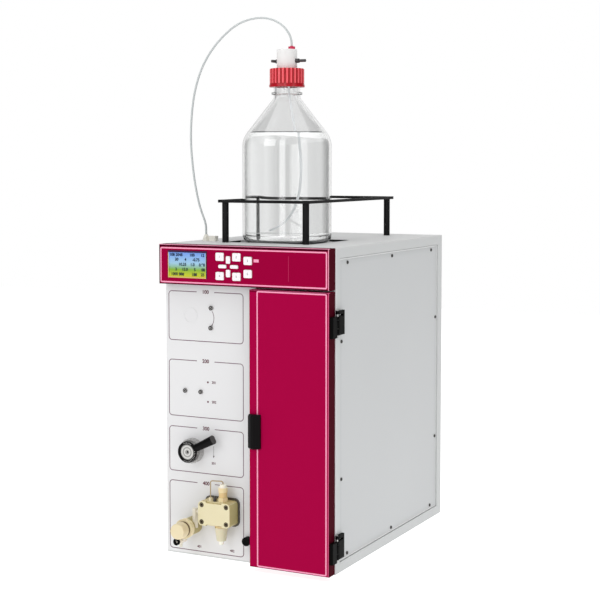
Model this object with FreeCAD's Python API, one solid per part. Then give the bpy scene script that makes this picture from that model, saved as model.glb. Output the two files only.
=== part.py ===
"""Benchtop ion chromatograph with an eluent bottle in a rail on its top cover.

Millimetres, +Z up. The origin is under the middle of the instrument, on the bench,
without its tubes. Most pieces are placed in cabinet coordinates: u runs right from the
left face, d runs back from the front plane, h runs up from the cabinet's underside.
"""
import math
import os

import FreeCAD
import Part
from FreeCAD import Vector

# Cabinet
CABINET_W = 280.0
CABINET_H = 465.0
CABINET_D = 410.0
SHEET = 2.0
FOOT_H = 6.0
FOOT_R = 11.0
FOOT_INSET = 42.0

# Door and control fascia, which share one front thickness
FRONT_T = 20.0
SIDE_INSET = 0.9
FASCIA_H = 58.7
FASCIA_WALL = 3.0
DOOR_W = 127.2
DOOR_GAP = 2.8
DOOR_SEAL_GAP = 0.5
DOOR_LIFT = 0.8
EDGE_R = 1.6

# How far the foremost and outermost details stand out of the cabinet
KNOB_REACH = 50.0
GUARD_REACH = 4.0
HINGE_REACH = 4.5

# Side walls: a frame with a recessed, screwed cover
SIDE_FRAME_T = 6.0
SIDE_RECESS = 2.0
SIDE_BORDER = 15.0
SIDE_LEDGE = 14.0
COVER_GAP = 1.0
COVER_SCREW_INSET = 7.4
SCREW_R = 1.5
SCREW_HOLE_R = 1.6
SCREW_HEAD_R = 2.5
SCREW_HEAD_H = 1.5
SCREW_CORNER = 20.0
SCREW_THIRD = 0.265
PAN_LIP_H = 10.0
PAN_LIP_START = 140.0

# Bottle well in the top cover
WELL_U, WELL_D = CABINET_W / 2 - 4.5, 134.0
WELL_W, WELL_L = 145.0, 133.0
WELL_DEPTH = 2.5
WELL_CORNER_R = 5.0
TRAY_WALL = 1.5
TRAY_FLANGE = 8.0

# Bottle rail
RAIL_W, RAIL_L = 135.0, 298.0
RAIL_FRONT = 60.0
RAIL_Z = 62.0
POST_R = 5.0
BAR_T = 4.3
SPIGOT_R, SPIGOT_L = 2.5, 8.0

# Bottle
BOTTLE_U, BOTTLE_D = WELL_U, 131.0
BOTTLE_R = 68.0
BOTTLE_HEEL_R = 12.0
BOTTLE_WALL = 3.5
BASE_THICKER = 1.0
SHOULDER_H = 146.5
SHOULDER_R = 35.0
SHOULDER_DEG = 38.0
NECK_R = 20.0
NECK_L = 38.6
NECK_BLEND_R = 10.0
NECK_RING_R, NECK_RING_T = 23.5, 4.0
NECK_RING_UP = 3.1
LIQUID_H = 166.0
LIQUID_GAP = 0.3
CAP_R = 26.3
CAP_SKIRT_R = 27.0
CAP_H = 28.0
CAP_LIP = 2.2
CAP_RIBS = 26
CAP_SKIRT_T = 3.6
CAP_RIB_R = 1.6
HEAD_R = 15.5
HEAD_H = 28.5
HEAD_GAP = 0.4
HEAD_STEM_R = 13.5
HEAD_PLUG_L = 14.0
SIDE_PORT_UP = 11.0
TAP_R, TAP_L, TAP_OUT = 3.2, 11.0, 3.0
GRIP_T, GRIP_W, GRIP_FRONT, GRIP_BACK = 3.0, 4.0, 11.0, 5.0
STUB_R, STUB_COLLAR_R, STUB_L, STUB_COLLAR_L = 2.2, 3.4, 19.0, 8.0
TUBE_NUT_RIGHT = 8.1
TUBE_NUT_R, TUBE_NUT_H = 5.2, 4.0
TUBE_FERRULE_R, TUBE_FERRULE_H = 2.6, 1.0
TURN_GAP = 0.05

# Tubes
TUBE_R = 1.6
GLAND_U, GLAND_D = 22.5, 80.0
GLAND_BASE_R, GLAND_BASE_H = 5.6, 3.0
GLAND_HEX_R, GLAND_HEX_H = 5.2, 3.4
GLAND_NECK_R, GLAND_H = 3.9, 10.0
CLIP_W, CLIP_H, CLIP_RIGHT = 12.0, 8.0, 7.0

# Front panel details
PORT_R = 3.3
PORT_BORE_R = 1.3
PORT_PLACES = [(78.0, 371.5), (77.5, 342.1), (33.2, 246.6), (59.9, 246.4)]
RING_T = 1.2
RING_U, RING_H, RING_R = 42.4, 359.0, 11.5
PORT_STEM_R, PORT_STEM_L, PORT_PROUD = 2.2, 8.0, 2.5
PANEL_HOLE_GAP = 0.1
WASTE_TO_DOOR, WASTE_H, WASTE_R, WASTE_L = 12.9, 32.6, 6.5, 8.0

# Sample injector
INJECTOR_U, INJECTOR_H = 46.0, 158.0
INJECTOR_R = 18.5
INJECTOR_BODY_L = 9.0
INJECTOR_NECK_R = 9.0
INJECTOR_DRUM_R, INJECTOR_DRUM_L = 17.0, 34.0
INJECTOR_FLUTES, FLUTE_R = 24, 0.9
NEEDLE_PORT_R, NEEDLE_PORT_L = 1.2, 7.0
DIAL_R = 15.7
DIAL_T = 9.7
DIAL_GAP = 0.3
STATOR_R = 11.2
STATOR_BACK = 1.2
LEVER_REACH = 48.5
LEVER_ROOT_R, LEVER_TIP_R = 5.4, 6.8
LEVER_ANGLE = 27.0

# Pump head
PUMP_U, PUMP_H = 96.6, 72.2
PUMP_W, PUMP_HT, PUMP_FRONT = 53.0, 36.0, 27.5
PUMP_CORNER_R = 6.0
PUMP_FLANGE_T = 3.0
PUMP_FLANGE_OVER = 3.0
PUMP_FLANGE_R = 8.0
PUMP_NECK_W, PUMP_NECK_HT = 40.0, 28.0
PUMP_SCREW_DU, PUMP_SCREW_DH = 20.5, 12.6
PUMP_SCREW_R, PUMP_SCREW_HEAD_R, PUMP_SCREW_HEAD_L = 2.0, 3.5, 4.6
PUMP_NOTCH_W, PUMP_NOTCH_R, PUMP_NOTCH_L = 27.0, 2.2, 5.0
DRIVE_W, DRIVE_BELOW, DRIVE_ABOVE, DRIVE_L = 76.0, 32.0, 34.0, 72.0
MOTOR_R, MOTOR_L, MOTOR_CAP_R, MOTOR_CAP_L = 27.0, 62.0, 22.0, 8.0
OUTLET_U, INLET_VALVE_U, VALVE_D = PUMP_U + 8.9, PUMP_U + 6.0, -15.3
OUTLET_HEX_R, OUTLET_R, OUTLET_CAP_R, OUTLET_TIP_R = 7.8, 6.3, 6.9, 4.2
OUTLET_HEX_H, OUTLET_H, OUTLET_CAP_H, OUTLET_TIP_H = 6.0, 8.0, 7.0, 4.4
INLET_COLLAR_R, INLET_TOP_R, INLET_LOW_R, INLET_TIP_R = 8.6, 9.8, 7.0, 4.0
INLET_COLLAR_H, INLET_NUT_H, INLET_TIP_H = 2.0, 20.0, 6.0
CAPILLARY_R = 0.8
CAPILLARY_U, CAPILLARY_D = 87.1, -20.0
CAPILLARY_TOP = 120.0
CAPILLARY_BEND_R = 3.0
CAPILLARY_NUT_R, CAPILLARY_NUT_H = 3.0, 5.0
SPARE_NUT_RIGHT, SPARE_STUB_L = 7.6, 3.0

# Purge valve
PURGE_U, PURGE_H = 47.4, 46.2
PURGE_R = 13.2
PURGE_FLANGE_R, PURGE_FLANGE_T = 14.6, 7.0
KNOB_R = 11.5
PURGE_BODY_L = 31.0
PURGE_STEM_R = 6.0
PURGE_NUT_R, PURGE_NUT_L = 9.0, 10.0
KNOB_GAP = 0.4
KNOB_GROOVE_W, KNOB_GROOVE_T = 2.0, 1.4
KNOB_SHAFT_R, KNOB_SHAFT_L = 4.0, 10.0
DRAIN_U, DRAIN_H, DRAIN_R = 35.6, 25.8, 5.2
DRAIN_BORE_R, DRAIN_CAP_T, DRAIN_L = 2.4, 3.0, 20.0
PURGE_LINE_R, PURGE_LINE_D = 2.2, -15.3
PURGE_ELBOW_U = 58.0

# Display and keys, upwards from the fascia's lower edge
LCD_U, LCD_UP, LCD_W, LCD_HT = 15.9, 9.7, 66.8, 40.5
LCD_PROUD, LCD_EDGE = 0.4, 2.0
KEY_W, KEY_HT = 13.4, 11.8
KEY_PROUD = 1.5
KEY_CORNER_R = 1.8
KEY_GAP = 0.3
KEY_FLANGE = 0.3
KEY_TRAVEL = 1.0
SQUARE_KEYS = [(104.2, 42.7), (131.9, 42.8), (150.4, 38.1),
               (104.2, 14.8), (131.9, 14.7), (150.4, 19.4)]
ARROW_KEYS = [("up", 118.1, 38.5, 6.9, 10.9), ("down", 118.1, 19.0, 6.9, 10.9),
              ("left", 108.6, 28.8, 13.0, 5.1), ("right", 128.1, 28.8, 13.0, 5.1)]
BOARD_T = 1.5
BOARD_D = -14.5
BOARD_U, BOARD_W = 10.0, 154.0
BOSS_R, BOSS_INSET = 1.6, 2.0

# Hinges
HINGE_H = 38.0
HINGE_PLACES = [339.0, 18.5]
HINGE_LEAF_W = 17.5
BARREL_R = 2.7
PIN_R = 1.5
PIN_GAP = 0.05
KNUCKLE_GAP = 0.4
LEAF_TO_EDGE = 3.0
EAR_H, EAR_GAP, EAR_NECK = 4.8, 3.2, 4.5
LEAF_STEP = 3.5

# Column compartment behind the door
WINDOW_FROM_DOOR, WINDOW_FROM_RIGHT = 16.1, 10.0
WINDOW_H0, WINDOW_TOP_GAP = 18.0, 70.0
LINER_DEPTH = 130.0
LINER_T = 1.5
COLUMN_RIGHT, COLUMN_D, COLUMN_R = 30.0, 104.0, 4.8
COLUMN_H0, COLUMN_L = 90.0, 250.0
COLUMN_FITTING_R, COLUMN_FITTING_L = 8.0, 24.0
COLUMN_NUT_R, COLUMN_NUT_H = 5.0, 8.0
CLIP_H_EACH, CLIP_WALL, CLIP_MOUTH = 20.0, 3.0, 6.4
CLIP_PLATE_W, CLIP_PLATE_T = 24.0, 3.0
SUPPRESSOR_W, SUPPRESSOR_D, SUPPRESSOR_H0, SUPPRESSOR_HT = 42.0, 84.0, 52.0, 70.0
SUPPRESSOR_DRUM_R, SUPPRESSOR_DRUM_L = 17.0, 12.0
DETECTOR_W, DETECTOR_D, DETECTOR_H0, DETECTOR_HT = 46.0, 92.0, 190.0, 100.0
DETECTOR_PORT_R, DETECTOR_PORT_L, DETECTOR_PORT_INSET = 5.0, 12.0, 20.0
EQUIPMENT_FROM_RIGHT = 27.0

# Magnet and its strike on the door
MAGNET_FROM_EDGE, MAGNET_W, MAGNET_T = 7.0, 7.5, 7.0
MAGNET_H0, MAGNET_HT, STRIKE_GAP, STRIKE_OVER = 190.0, 35.0, 0.3, 2.0

# Door shell and handle
DOOR_RIM, DOOR_SKIN = 5.0, 4.0
HANDLE_H0, HANDLE_HT, HANDLE_W, HANDLE_REACH = 174.0, 50.0, 18.8, 9.0

# Rear wall
FAN_FROM_RIGHT, FAN_FROM_TOP, FAN_SIZE, FAN_DEPTH = 75.0, 135.0, 80.0, 25.0
FAN_BORE_R, FAN_TIP_R, FAN_HUB_R, FAN_HUB_L = 38.0, 36.5, 15.0, 17.0
FAN_BLADES, FAN_BLADE_W, FAN_BLADE_T, FAN_PITCH_DEG = 7, 18.0, 1.6, 32.0
FAN_SHAFT_R, FAN_STRUT_T = 2.0, 3.0
GUARD_WIRE_R, GUARD_RINGS, GUARD_FOOT = 0.9, (12.0, 21.0, 30.0, 37.0), 8.0
INLET_U, INLET_H, INLET_W, INLET_HT = 60.0, 60.0, 62.0, 32.0
INLET_FLANGE_T, INLET_FLANGE, INLET_BODY_L = 2.2, 4.0, 24.0
SOCKET_RIGHT, SOCKET_W, SOCKET_HT, SOCKET_L = 12.0, 24.0, 17.0, 16.0
ROCKER_LEFT, ROCKER_W, ROCKER_HALF, ROCKER_TILT, ROCKER_PIT = 15.0, 13.0, 9.0, 8.0, 12.0
PIVOT_D, PIVOT_R = 2.5, 1.2
SIGNAL_U, SIGNAL_H, SIGNAL_PITCH, SIGNAL_COUNT = 50.0, 250.0, 34.0, 3
SIGNAL_W, SIGNAL_HT, SIGNAL_GAP = 17.2, 10.4, 0.4
VENT_U, VENT_W, VENT_FROM_TOP, VENT_SLOT, VENT_PITCH, VENT_ROWS = 30.0, 80.0, 75.0, 2.5, 6.0, 8
SUPPLY_U, SUPPLY_W, SUPPLY_HT, SUPPLY_L, SUPPLY_LIP = 18.0, 122.0, 64.0, 136.0, 2.0
SUPPLY_FROM_REAR = 38.0
MAIN_U, MAIN_W, MAIN_H, MAIN_HT, MAIN_STANDOFF = 24.0, 124.0, 120.0, 170.0, 12.0

# Bottle profile: shoulder arc, cone and neck arc, then the straight neck
SLOPE = math.radians(SHOULDER_DEG)
CONE_TOP_R = NECK_R + NECK_BLEND_R * (1 - math.cos(SLOPE))
CONE_FOOT_R = BOTTLE_R - SHOULDER_R * (1 - math.cos(SLOPE))
NECK_BASE = SHOULDER_H + (SHOULDER_R + NECK_BLEND_R) * math.sin(SLOPE) + (
    CONE_FOOT_R - CONE_TOP_R) / math.tan(SLOPE)
BOTTLE_H = NECK_BASE + NECK_L

# Derived places of the cabinet in the part's frame
TOTAL_W = CABINET_W + HINGE_REACH
TOTAL_D = KNOB_REACH + CABINET_D + GUARD_REACH
X_LEFT = -TOTAL_W / 2
Y_FRONT = -TOTAL_D / 2 + KNOB_REACH
Z_BASE = FOOT_H
TRAY_FLOOR = CABINET_H - WELL_DEPTH
BOTTLE_TOP = TRAY_FLOOR + BOTTLE_H
CAP_TOP = BOTTLE_TOP + CAP_LIP
HEAD_BOTTOM = CAP_TOP + HEAD_GAP
NUT_BASE = HEAD_BOTTOM + HEAD_H
NUT_U = BOTTLE_U + TUBE_NUT_RIGHT
NUT_TOP = NUT_BASE + TUBE_NUT_H + TUBE_FERRULE_H
GLAND_TOP = CABINET_H + GLAND_H
FASCIA_H0 = CABINET_H - FASCIA_H
DOOR_U1 = CABINET_W - SIDE_INSET
DOOR_U0 = DOOR_U1 - DOOR_W
WASTE_U = DOOR_U0 - WASTE_TO_DOOR
DOOR_H1 = FASCIA_H0 - DOOR_GAP
PIN_U = CABINET_W + BARREL_R
LCD_H0 = FASCIA_H0 + LCD_UP
WINDOW_U0 = DOOR_U0 + WINDOW_FROM_DOOR
WINDOW_U1 = CABINET_W - WINDOW_FROM_RIGHT
WINDOW_H1 = CABINET_H - WINDOW_TOP_GAP
COLUMN_U = WINDOW_U0 + COLUMN_RIGHT
EQUIPMENT_U = WINDOW_U1 - EQUIPMENT_FROM_RIGHT
FAN_U, FAN_H = CABINET_W - FAN_FROM_RIGHT, CABINET_H - FAN_FROM_TOP
VENT_H = CABINET_H - VENT_FROM_TOP

RIGHT, BACK, UP = Vector(1, 0, 0), Vector(0, 1, 0), Vector(0, 0, 1)


def at(u, d, h):
    """Point of the part's frame from cabinet coordinates."""
    return Vector(X_LEFT + u, Y_FRONT + d, Z_BASE + h)


def slab(u, d, h):
    """Box between pairs of cabinet coordinates."""
    return Part.makeBox(u[1] - u[0], d[1] - d[0], h[1] - h[0], at(u[0], d[0], h[0]))


def block_at(u, h, width, height, d):
    """Box about a front-view centre, between two depths."""
    return slab((u - width / 2, u + width / 2), d, (h - height / 2, h + height / 2))


def rod(u, d, h, radius, length, axis=BACK):
    """Cylinder that starts at a cabinet point and runs along an axis."""
    return Part.makeCylinder(radius, length, at(u, d, h), axis)


def tube(u, d, h, outer, inner, length, axis=BACK):
    return rod(u, d, h, outer, length, axis).cut(rod(u, d, h, inner, length, axis))


def cone(u, d, h, r_start, r_end, length, axis=UP):
    return Part.makeCone(r_start, r_end, length, at(u, d, h), axis)


def hexagon(u, d, h, corner_r, length, axis=BACK):
    """Hexagonal bar along an axis, centred on a cabinet point."""
    side = RIGHT if abs(axis.x) < 0.5 else BACK
    other = axis.cross(side)
    centre = at(u, d, h)
    corners = []
    for step in range(7):
        angle = math.radians(60 * step)
        reach = side * math.cos(angle) + other * math.sin(angle)
        corners.append(centre + reach * corner_r)
    return Part.Face(Part.makePolygon(corners)).extrude(axis * length)


def soften(shape, radius, axis):
    """Fillet the straight edges that run along an axis."""
    edges = []
    for edge in shape.Edges:
        if edge.Curve.TypeId != "Part::GeomLine":
            continue
        direction = edge.tangentAt(edge.FirstParameter)
        if abs(abs(direction.dot(axis)) - 1) < 1e-6:
            edges.append(edge)
    return shape.makeFillet(radius, edges)


def soften_front(shape, radius, y):
    """Fillet every edge that lies in the plane of a front face."""
    edges = []
    for edge in shape.Edges:
        box = edge.BoundBox
        if abs(box.YMin - y) < 1e-4 and abs(box.YMax - y) < 1e-4:
            edges.append(edge)
    return shape.makeFillet(radius, edges)


def join(*shapes):
    result = shapes[0].multiFuse(list(shapes[1:])) if len(shapes) > 1 else shapes[0]
    return result.removeSplitter()


def group(shapes):
    return Part.makeCompound(list(shapes))


def revolve_profile(edges, u, d):
    """Revolve a closed profile, drawn in the X-Z plane about the Z axis, and set it on a vertical axis."""
    face = Part.Face(Part.Wire(edges))
    solid = face.revolve(Vector(0, 0, 0), UP, 360)
    solid.translate(at(u, d, 0))
    return solid


def path_with_arcs(points):
    """Straight runs joined by tangent arcs, each as large as its two runs allow."""
    edges, radii = [], []
    start = points[0]
    for before, corner, after in zip(points, points[1:], points[2:]):
        to_before = (before - corner)
        to_after = (after - corner)
        half_turn = (math.pi - to_before.getAngle(to_after)) / 2
        shorter = min(to_before.Length, to_after.Length)
        trim = 0.45 * shorter
        radius = trim / math.tan(half_turn)
        radii.append(radius)
        to_before.normalize()
        to_after.normalize()
        arc_start = corner + to_before * trim
        arc_end = corner + to_after * trim
        inward = (to_before + to_after).normalize()
        middle = corner + inward * (radius / math.cos(half_turn) - radius)
        edges.append(Part.LineSegment(start, arc_start).toShape())
        edges.append(Part.Arc(arc_start, middle, arc_end).toShape())
        start = arc_end
    edges.append(Part.LineSegment(start, points[-1]).toShape())
    return Part.Wire(edges), radii


def sweep_round(points, radius, name):
    """Round tube solid along a path of runs and arcs."""
    wire, radii = path_with_arcs(points)
    direction = points[1] - points[0]
    section = Part.Wire(Part.Circle(points[0], direction, radius).toShape())
    solid = wire.makePipeShell([section], True, True)
    ideal = math.pi * radius ** 2 * wire.Length
    print(name, "length %.1f" % wire.Length, "volume ratio %.4f" % (solid.Volume / ideal))
    print(name, "radii", " ".join("%.0f" % r for r in radii))
    return solid


parts = {}


def casing():
    """Base pan, feet, side walls, rear wall, front panel and top cover."""
    side_h = (SHEET, CABINET_H - SHEET)
    side_d = (SHEET, CABINET_D - SHEET)

    pan = slab((0, CABINET_W), (0, CABINET_D), (0, SHEET))
    lip_h = (SHEET, SHEET + PAN_LIP_H)
    for u in (SIDE_FRAME_T, CABINET_W - SIDE_FRAME_T - SHEET):
        pan = pan.fuse(slab((u, u + SHEET), (PAN_LIP_START, side_d[1]), lip_h))
    parts["base_pan"] = pan.removeSplitter()

    feet = []
    for u in (FOOT_INSET, CABINET_W - FOOT_INSET):
        for d in (FOOT_INSET, CABINET_D - FOOT_INSET):
            feet.append(cone(u, d, -FOOT_H, FOOT_R - 1.5, FOOT_R, FOOT_H))
    parts["rubber_feet"] = group(feet)

    frames, covers, screws = [], [], []
    for mirrored in (False, True):
        frame, cover, side_screws = right_side(side_d, side_h)
        if mirrored:
            middle = at(CABINET_W / 2, 0, 0)
            frame = frame.mirror(middle, RIGHT)
            cover = cover.mirror(middle, RIGHT)
            side_screws = [screw.mirror(middle, RIGHT) for screw in side_screws]
        frames.append(frame)
        covers.append(cover)
        screws += side_screws
    parts["side_frames"] = group(frames)
    parts["side_covers"] = group(covers)
    parts["side_cover_screws"] = group(screws)

    parts["rear_panel"] = rear_panel(side_h)
    parts["front_panel"] = front_panel(side_h)
    top_cover()


def right_side(side_d, side_h):
    """Right wall: a frame with a border and a ledge, and the cover screwed to the ledge."""
    outer_u = (CABINET_W - SIDE_FRAME_T, CABINET_W)
    cover_u = (CABINET_W - 2 * SIDE_RECESS, CABINET_W - SIDE_RECESS)
    window_d = (SIDE_BORDER, CABINET_D - SIDE_BORDER - SHEET)
    window_h = (SIDE_BORDER - 1, CABINET_H - SIDE_BORDER)
    frame = slab(outer_u, side_d, side_h)
    frame = frame.cut(slab((cover_u[0], CABINET_W), window_d, window_h))
    inner_d = (window_d[0] + SIDE_LEDGE, window_d[1] - SIDE_LEDGE)
    inner_h = (window_h[0] + SIDE_LEDGE, window_h[1] - SIDE_LEDGE)
    frame = frame.cut(slab(outer_u, inner_d, inner_h))
    cover = slab(cover_u, (window_d[0] + COVER_GAP, window_d[1] - COVER_GAP),
                 (window_h[0] + COVER_GAP, window_h[1] - COVER_GAP))

    low_d, high_d = window_d[0] + COVER_SCREW_INSET, window_d[1] - COVER_SCREW_INSET
    low_h, high_h = window_h[0] + COVER_SCREW_INSET, window_h[1] - COVER_SCREW_INSET
    middle_d = (low_d + high_d) / 2
    rise = SCREW_THIRD * (high_h - low_h)
    places = []
    for d in (low_d + SCREW_CORNER, middle_d, high_d - SCREW_CORNER):
        places += [(d, high_h), (d, low_h)]
    for d in (low_d, high_d):
        places += [(d, high_h - rise), (d, low_h + rise)]
    screws = []
    for d, h in places:
        hole = rod(outer_u[0], d, h, SCREW_HOLE_R, SIDE_FRAME_T, RIGHT)
        frame = frame.cut(hole)
        cover = cover.cut(hole)
        shank = rod(outer_u[0], d, h, SCREW_R, cover_u[1] - outer_u[0], RIGHT)
        head = rod(cover_u[1], d, h, SCREW_HEAD_R, SCREW_HEAD_H, RIGHT)
        head_x = X_LEFT + cover_u[1] + SCREW_HEAD_H
        rim = [e for e in head.Edges if abs(e.BoundBox.XMin - head_x) < 1e-6]
        head = head.makeFillet(0.4 * SCREW_HEAD_H, rim)
        screws.append(head.fuse(shank).removeSplitter())
    return frame, cover, screws


def rear_panel(side_h):
    """Rear wall with the fan opening, the mains inlet and the signal sockets."""
    rear_d = (CABINET_D - SHEET, CABINET_D)
    panel = slab((0, CABINET_W), rear_d, side_h)
    panel = panel.cut(rod(FAN_U, rear_d[0], FAN_H, FAN_BORE_R, SHEET))
    width, height = INLET_W - 2 * INLET_FLANGE, INLET_HT - 2 * INLET_FLANGE
    panel = panel.cut(block_at(INLET_U, INLET_H, width, height, rear_d))
    width, height = SIGNAL_W + 2 * SIGNAL_GAP, SIGNAL_HT + 2 * SIGNAL_GAP
    for u in signal_places():
        panel = panel.cut(block_at(u, SIGNAL_H, width, height, rear_d))
    slots = []
    for row in range(VENT_ROWS):
        h = VENT_H + VENT_PITCH * row
        slots.append(slab((VENT_U, VENT_U + VENT_W), rear_d, (h, h + VENT_SLOT)))
    return panel.cut(group(slots))


def signal_places():
    return [SIGNAL_U + SIGNAL_PITCH * column for column in range(SIGNAL_COUNT)]


def front_panel(side_h):
    """White panel that carries the injector, pump head and purge valve, with the compartment window."""
    panel = slab((0, CABINET_W), (0, SHEET), side_h)
    panel = panel.cut(slab((WINDOW_U0, WINDOW_U1), (0, SHEET), (WINDOW_H0, WINDOW_H1)))
    panel = panel.cut(rod(INJECTOR_U, 0, INJECTOR_H, INJECTOR_NECK_R + 2 * PANEL_HOLE_GAP, SHEET))
    panel = panel.cut(block_at(PUMP_U, PUMP_H, PUMP_NECK_W + 4 * PANEL_HOLE_GAP,
                               PUMP_NECK_HT + 4 * PANEL_HOLE_GAP, (0, SHEET)))
    panel = panel.cut(rod(PURGE_U, 0, PURGE_H, PURGE_STEM_R + PANEL_HOLE_GAP, SHEET))
    for u, h in PORT_PLACES + [(WASTE_U, WASTE_H)]:
        panel = panel.cut(rod(u, 0, h, PORT_STEM_R + PANEL_HOLE_GAP, SHEET))
    ring = tube(RING_U, -0.4, RING_H, RING_R, RING_R - RING_T, 0.4)
    return join(panel, ring)


def top_cover():
    """Top cover with the cut-out for the bottle tray, and the tray."""
    tray_u = (WELL_U - WELL_W / 2, WELL_U + WELL_W / 2)
    tray_d = (WELL_D - WELL_L / 2, WELL_D + WELL_L / 2)
    wall_u = (tray_u[0] - TRAY_WALL, tray_u[1] + TRAY_WALL)
    wall_d = (tray_d[0] - TRAY_WALL, tray_d[1] + TRAY_WALL)
    outer_r = WELL_CORNER_R + TRAY_WALL
    cover = slab((0, CABINET_W), (0, CABINET_D), (CABINET_H - SHEET, CABINET_H))
    cover = cover.cut(soften(slab(wall_u, wall_d, (CABINET_H - SHEET, CABINET_H)), outer_r, UP))
    for u, d in post_places():
        cover = cover.cut(rod(u, d, CABINET_H - SHEET, SPIGOT_R + 0.1, SHEET, UP))
    cover = cover.cut(rod(GLAND_U, GLAND_D, CABINET_H - SHEET, GLAND_NECK_R + 0.2, SHEET, UP))
    parts["top_cover"] = cover

    tray = soften(slab(wall_u, wall_d, (TRAY_FLOOR - TRAY_WALL, CABINET_H)), outer_r, UP)
    flange_u = (wall_u[0] - TRAY_FLANGE, wall_u[1] + TRAY_FLANGE)
    flange_d = (wall_d[0] - TRAY_FLANGE, wall_d[1] + TRAY_FLANGE)
    flange = slab(flange_u, flange_d, (CABINET_H - SHEET - TRAY_WALL, CABINET_H - SHEET))
    for u, d in post_places():
        flange = flange.cut(rod(u, d, CABINET_H - SHEET - SPIGOT_L, SPIGOT_R + 1.0, SPIGOT_L, UP))
    well = soften(slab(tray_u, tray_d, (TRAY_FLOOR, CABINET_H)), WELL_CORNER_R, UP)
    parts["bottle_tray"] = join(tray, flange).cut(well)


def post_places():
    left = WELL_U - RAIL_W / 2
    right = WELL_U + RAIL_W / 2
    return [(u, d) for u in (left, right) for d in (RAIL_FRONT, RAIL_FRONT + RAIL_L)]


def fascia():
    """Control fascia across the top of the front, with display, key board and keys."""
    fascia_u = (SIDE_INSET - DOOR_SEAL_GAP, CABINET_W - SIDE_INSET)
    housing = slab(fascia_u, (-FRONT_T, 0), (FASCIA_H0, CABINET_H))
    housing = soften_front(housing, EDGE_R, Y_FRONT - FRONT_T)
    hollow = slab((fascia_u[0] + FASCIA_WALL, fascia_u[1] - FASCIA_WALL), (-FRONT_T + FASCIA_WALL, 0),
                  (FASCIA_H0 + FASCIA_WALL, CABINET_H - FASCIA_WALL))
    housing = housing.cut(hollow)
    wall_d = (-FRONT_T, -FRONT_T + FASCIA_WALL)
    lcd_u, lcd_h = (LCD_U, LCD_U + LCD_W), (LCD_H0, LCD_H0 + LCD_HT)
    housing = housing.cut(slab(lcd_u, wall_d, lcd_h))
    for name, u, h, width, height in all_keys():
        housing = housing.cut(key_block(u, h, width + 2 * KEY_GAP, height + 2 * KEY_GAP, wall_d))
    board_u = (BOARD_U, BOARD_U + BOARD_W)
    board_h = (FASCIA_H0 + FASCIA_WALL + 1, CABINET_H - FASCIA_WALL - 1)
    bosses = []
    for u in (board_u[0] + BOSS_INSET, board_u[1] - BOSS_INSET):
        for h in (board_h[0] + BOSS_INSET, board_h[1] - BOSS_INSET):
            bosses.append(rod(u, wall_d[1], h, BOSS_R, BOARD_D - wall_d[1]))
    parts["fascia_housing"] = join(housing, *bosses)
    parts["key_board"] = slab(board_u, (BOARD_D, BOARD_D + BOARD_T), board_h)

    front_d = -FRONT_T - LCD_PROUD
    frame = slab((lcd_u[0] + 0.2, lcd_u[1] - 0.2), (front_d, BOARD_D), (lcd_h[0] + 0.2, lcd_h[1] - 0.2))
    edge = slab((lcd_u[0] - LCD_EDGE, lcd_u[1] + LCD_EDGE), (wall_d[1], BOARD_D),
                (lcd_h[0] - LCD_EDGE, lcd_h[1] + LCD_EDGE))
    screen = slab((lcd_u[0] + 1.3 * LCD_EDGE, lcd_u[1] - LCD_EDGE), (front_d, front_d + 2 * LCD_PROUD),
                  (lcd_h[0] + 0.9 * LCD_EDGE, lcd_h[1] - 1.5 * LCD_EDGE))
    parts["display_module"] = join(frame, edge).cut(screen)

    flange_d = (wall_d[1] + 0.1, wall_d[1] + 1.1)
    around = 2 * (KEY_FLANGE + KEY_GAP)
    for name, u, h, width, height in all_keys():
        cap = key_block(u, h, width, height, (-FRONT_T - KEY_PROUD, flange_d[0]))
        cap = soften_front(cap, 0.6, Y_FRONT - FRONT_T - KEY_PROUD)
        flange = key_block(u, h, width + around, height + around, flange_d)
        parts["key_" + name] = join(cap, flange)


def all_keys():
    """Name, centre, width and height of every key."""
    squares = [(str(i + 1), u, FASCIA_H0 + up, KEY_W, KEY_HT) for i, (u, up) in enumerate(SQUARE_KEYS)]
    arrows = [(name, u, FASCIA_H0 + up, width, height) for name, u, up, width, height in ARROW_KEYS]
    return squares + arrows


def key_block(u, h, width, height, d):
    return soften(block_at(u, h, width, height, d), KEY_CORNER_R, BACK)


def door_and_hinges():
    """Door with its handle, the two hinges and the magnet that holds it shut."""
    shell = slab((DOOR_U0, DOOR_U1), (-FRONT_T, -DOOR_SEAL_GAP), (DOOR_LIFT, DOOR_H1))
    shell = soften_front(shell, EDGE_R, Y_FRONT - FRONT_T)
    hollow = slab((DOOR_U0 + DOOR_RIM, DOOR_U1 - DOOR_RIM), (-FRONT_T + DOOR_SKIN, -DOOR_SEAL_GAP),
                  (DOOR_LIFT + DOOR_RIM, DOOR_H1 - DOOR_RIM))
    shell = shell.cut(soften(hollow, DOOR_RIM * 0.6, BACK))
    magnet_u = (DOOR_U0 + MAGNET_FROM_EDGE, DOOR_U0 + MAGNET_FROM_EDGE + MAGNET_W)
    magnet_h = (MAGNET_H0, MAGNET_H0 + MAGNET_HT)
    strike = slab((magnet_u[0], magnet_u[1] + STRIKE_OVER), (-FRONT_T + DOOR_SKIN, -MAGNET_T - STRIKE_GAP),
                  (magnet_h[0] - STRIKE_OVER, magnet_h[1] + STRIKE_OVER))
    parts["door"] = join(shell, strike)
    parts["door_magnet"] = slab(magnet_u, (-MAGNET_T, 0), magnet_h)

    parts["door_handle"] = door_handle()

    cabinet_leaves, door_leaves, pins = [], [], []
    for base_h in HINGE_PLACES:
        leaves = hinge(base_h)
        cabinet_leaves.append(leaves[0])
        door_leaves.append(leaves[1])
        pins.append(leaves[2])
    parts["hinge_cabinet_leaves"] = group(cabinet_leaves)
    parts["hinge_door_leaves"] = group(door_leaves)
    parts["hinge_pins"] = group(pins)


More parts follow.
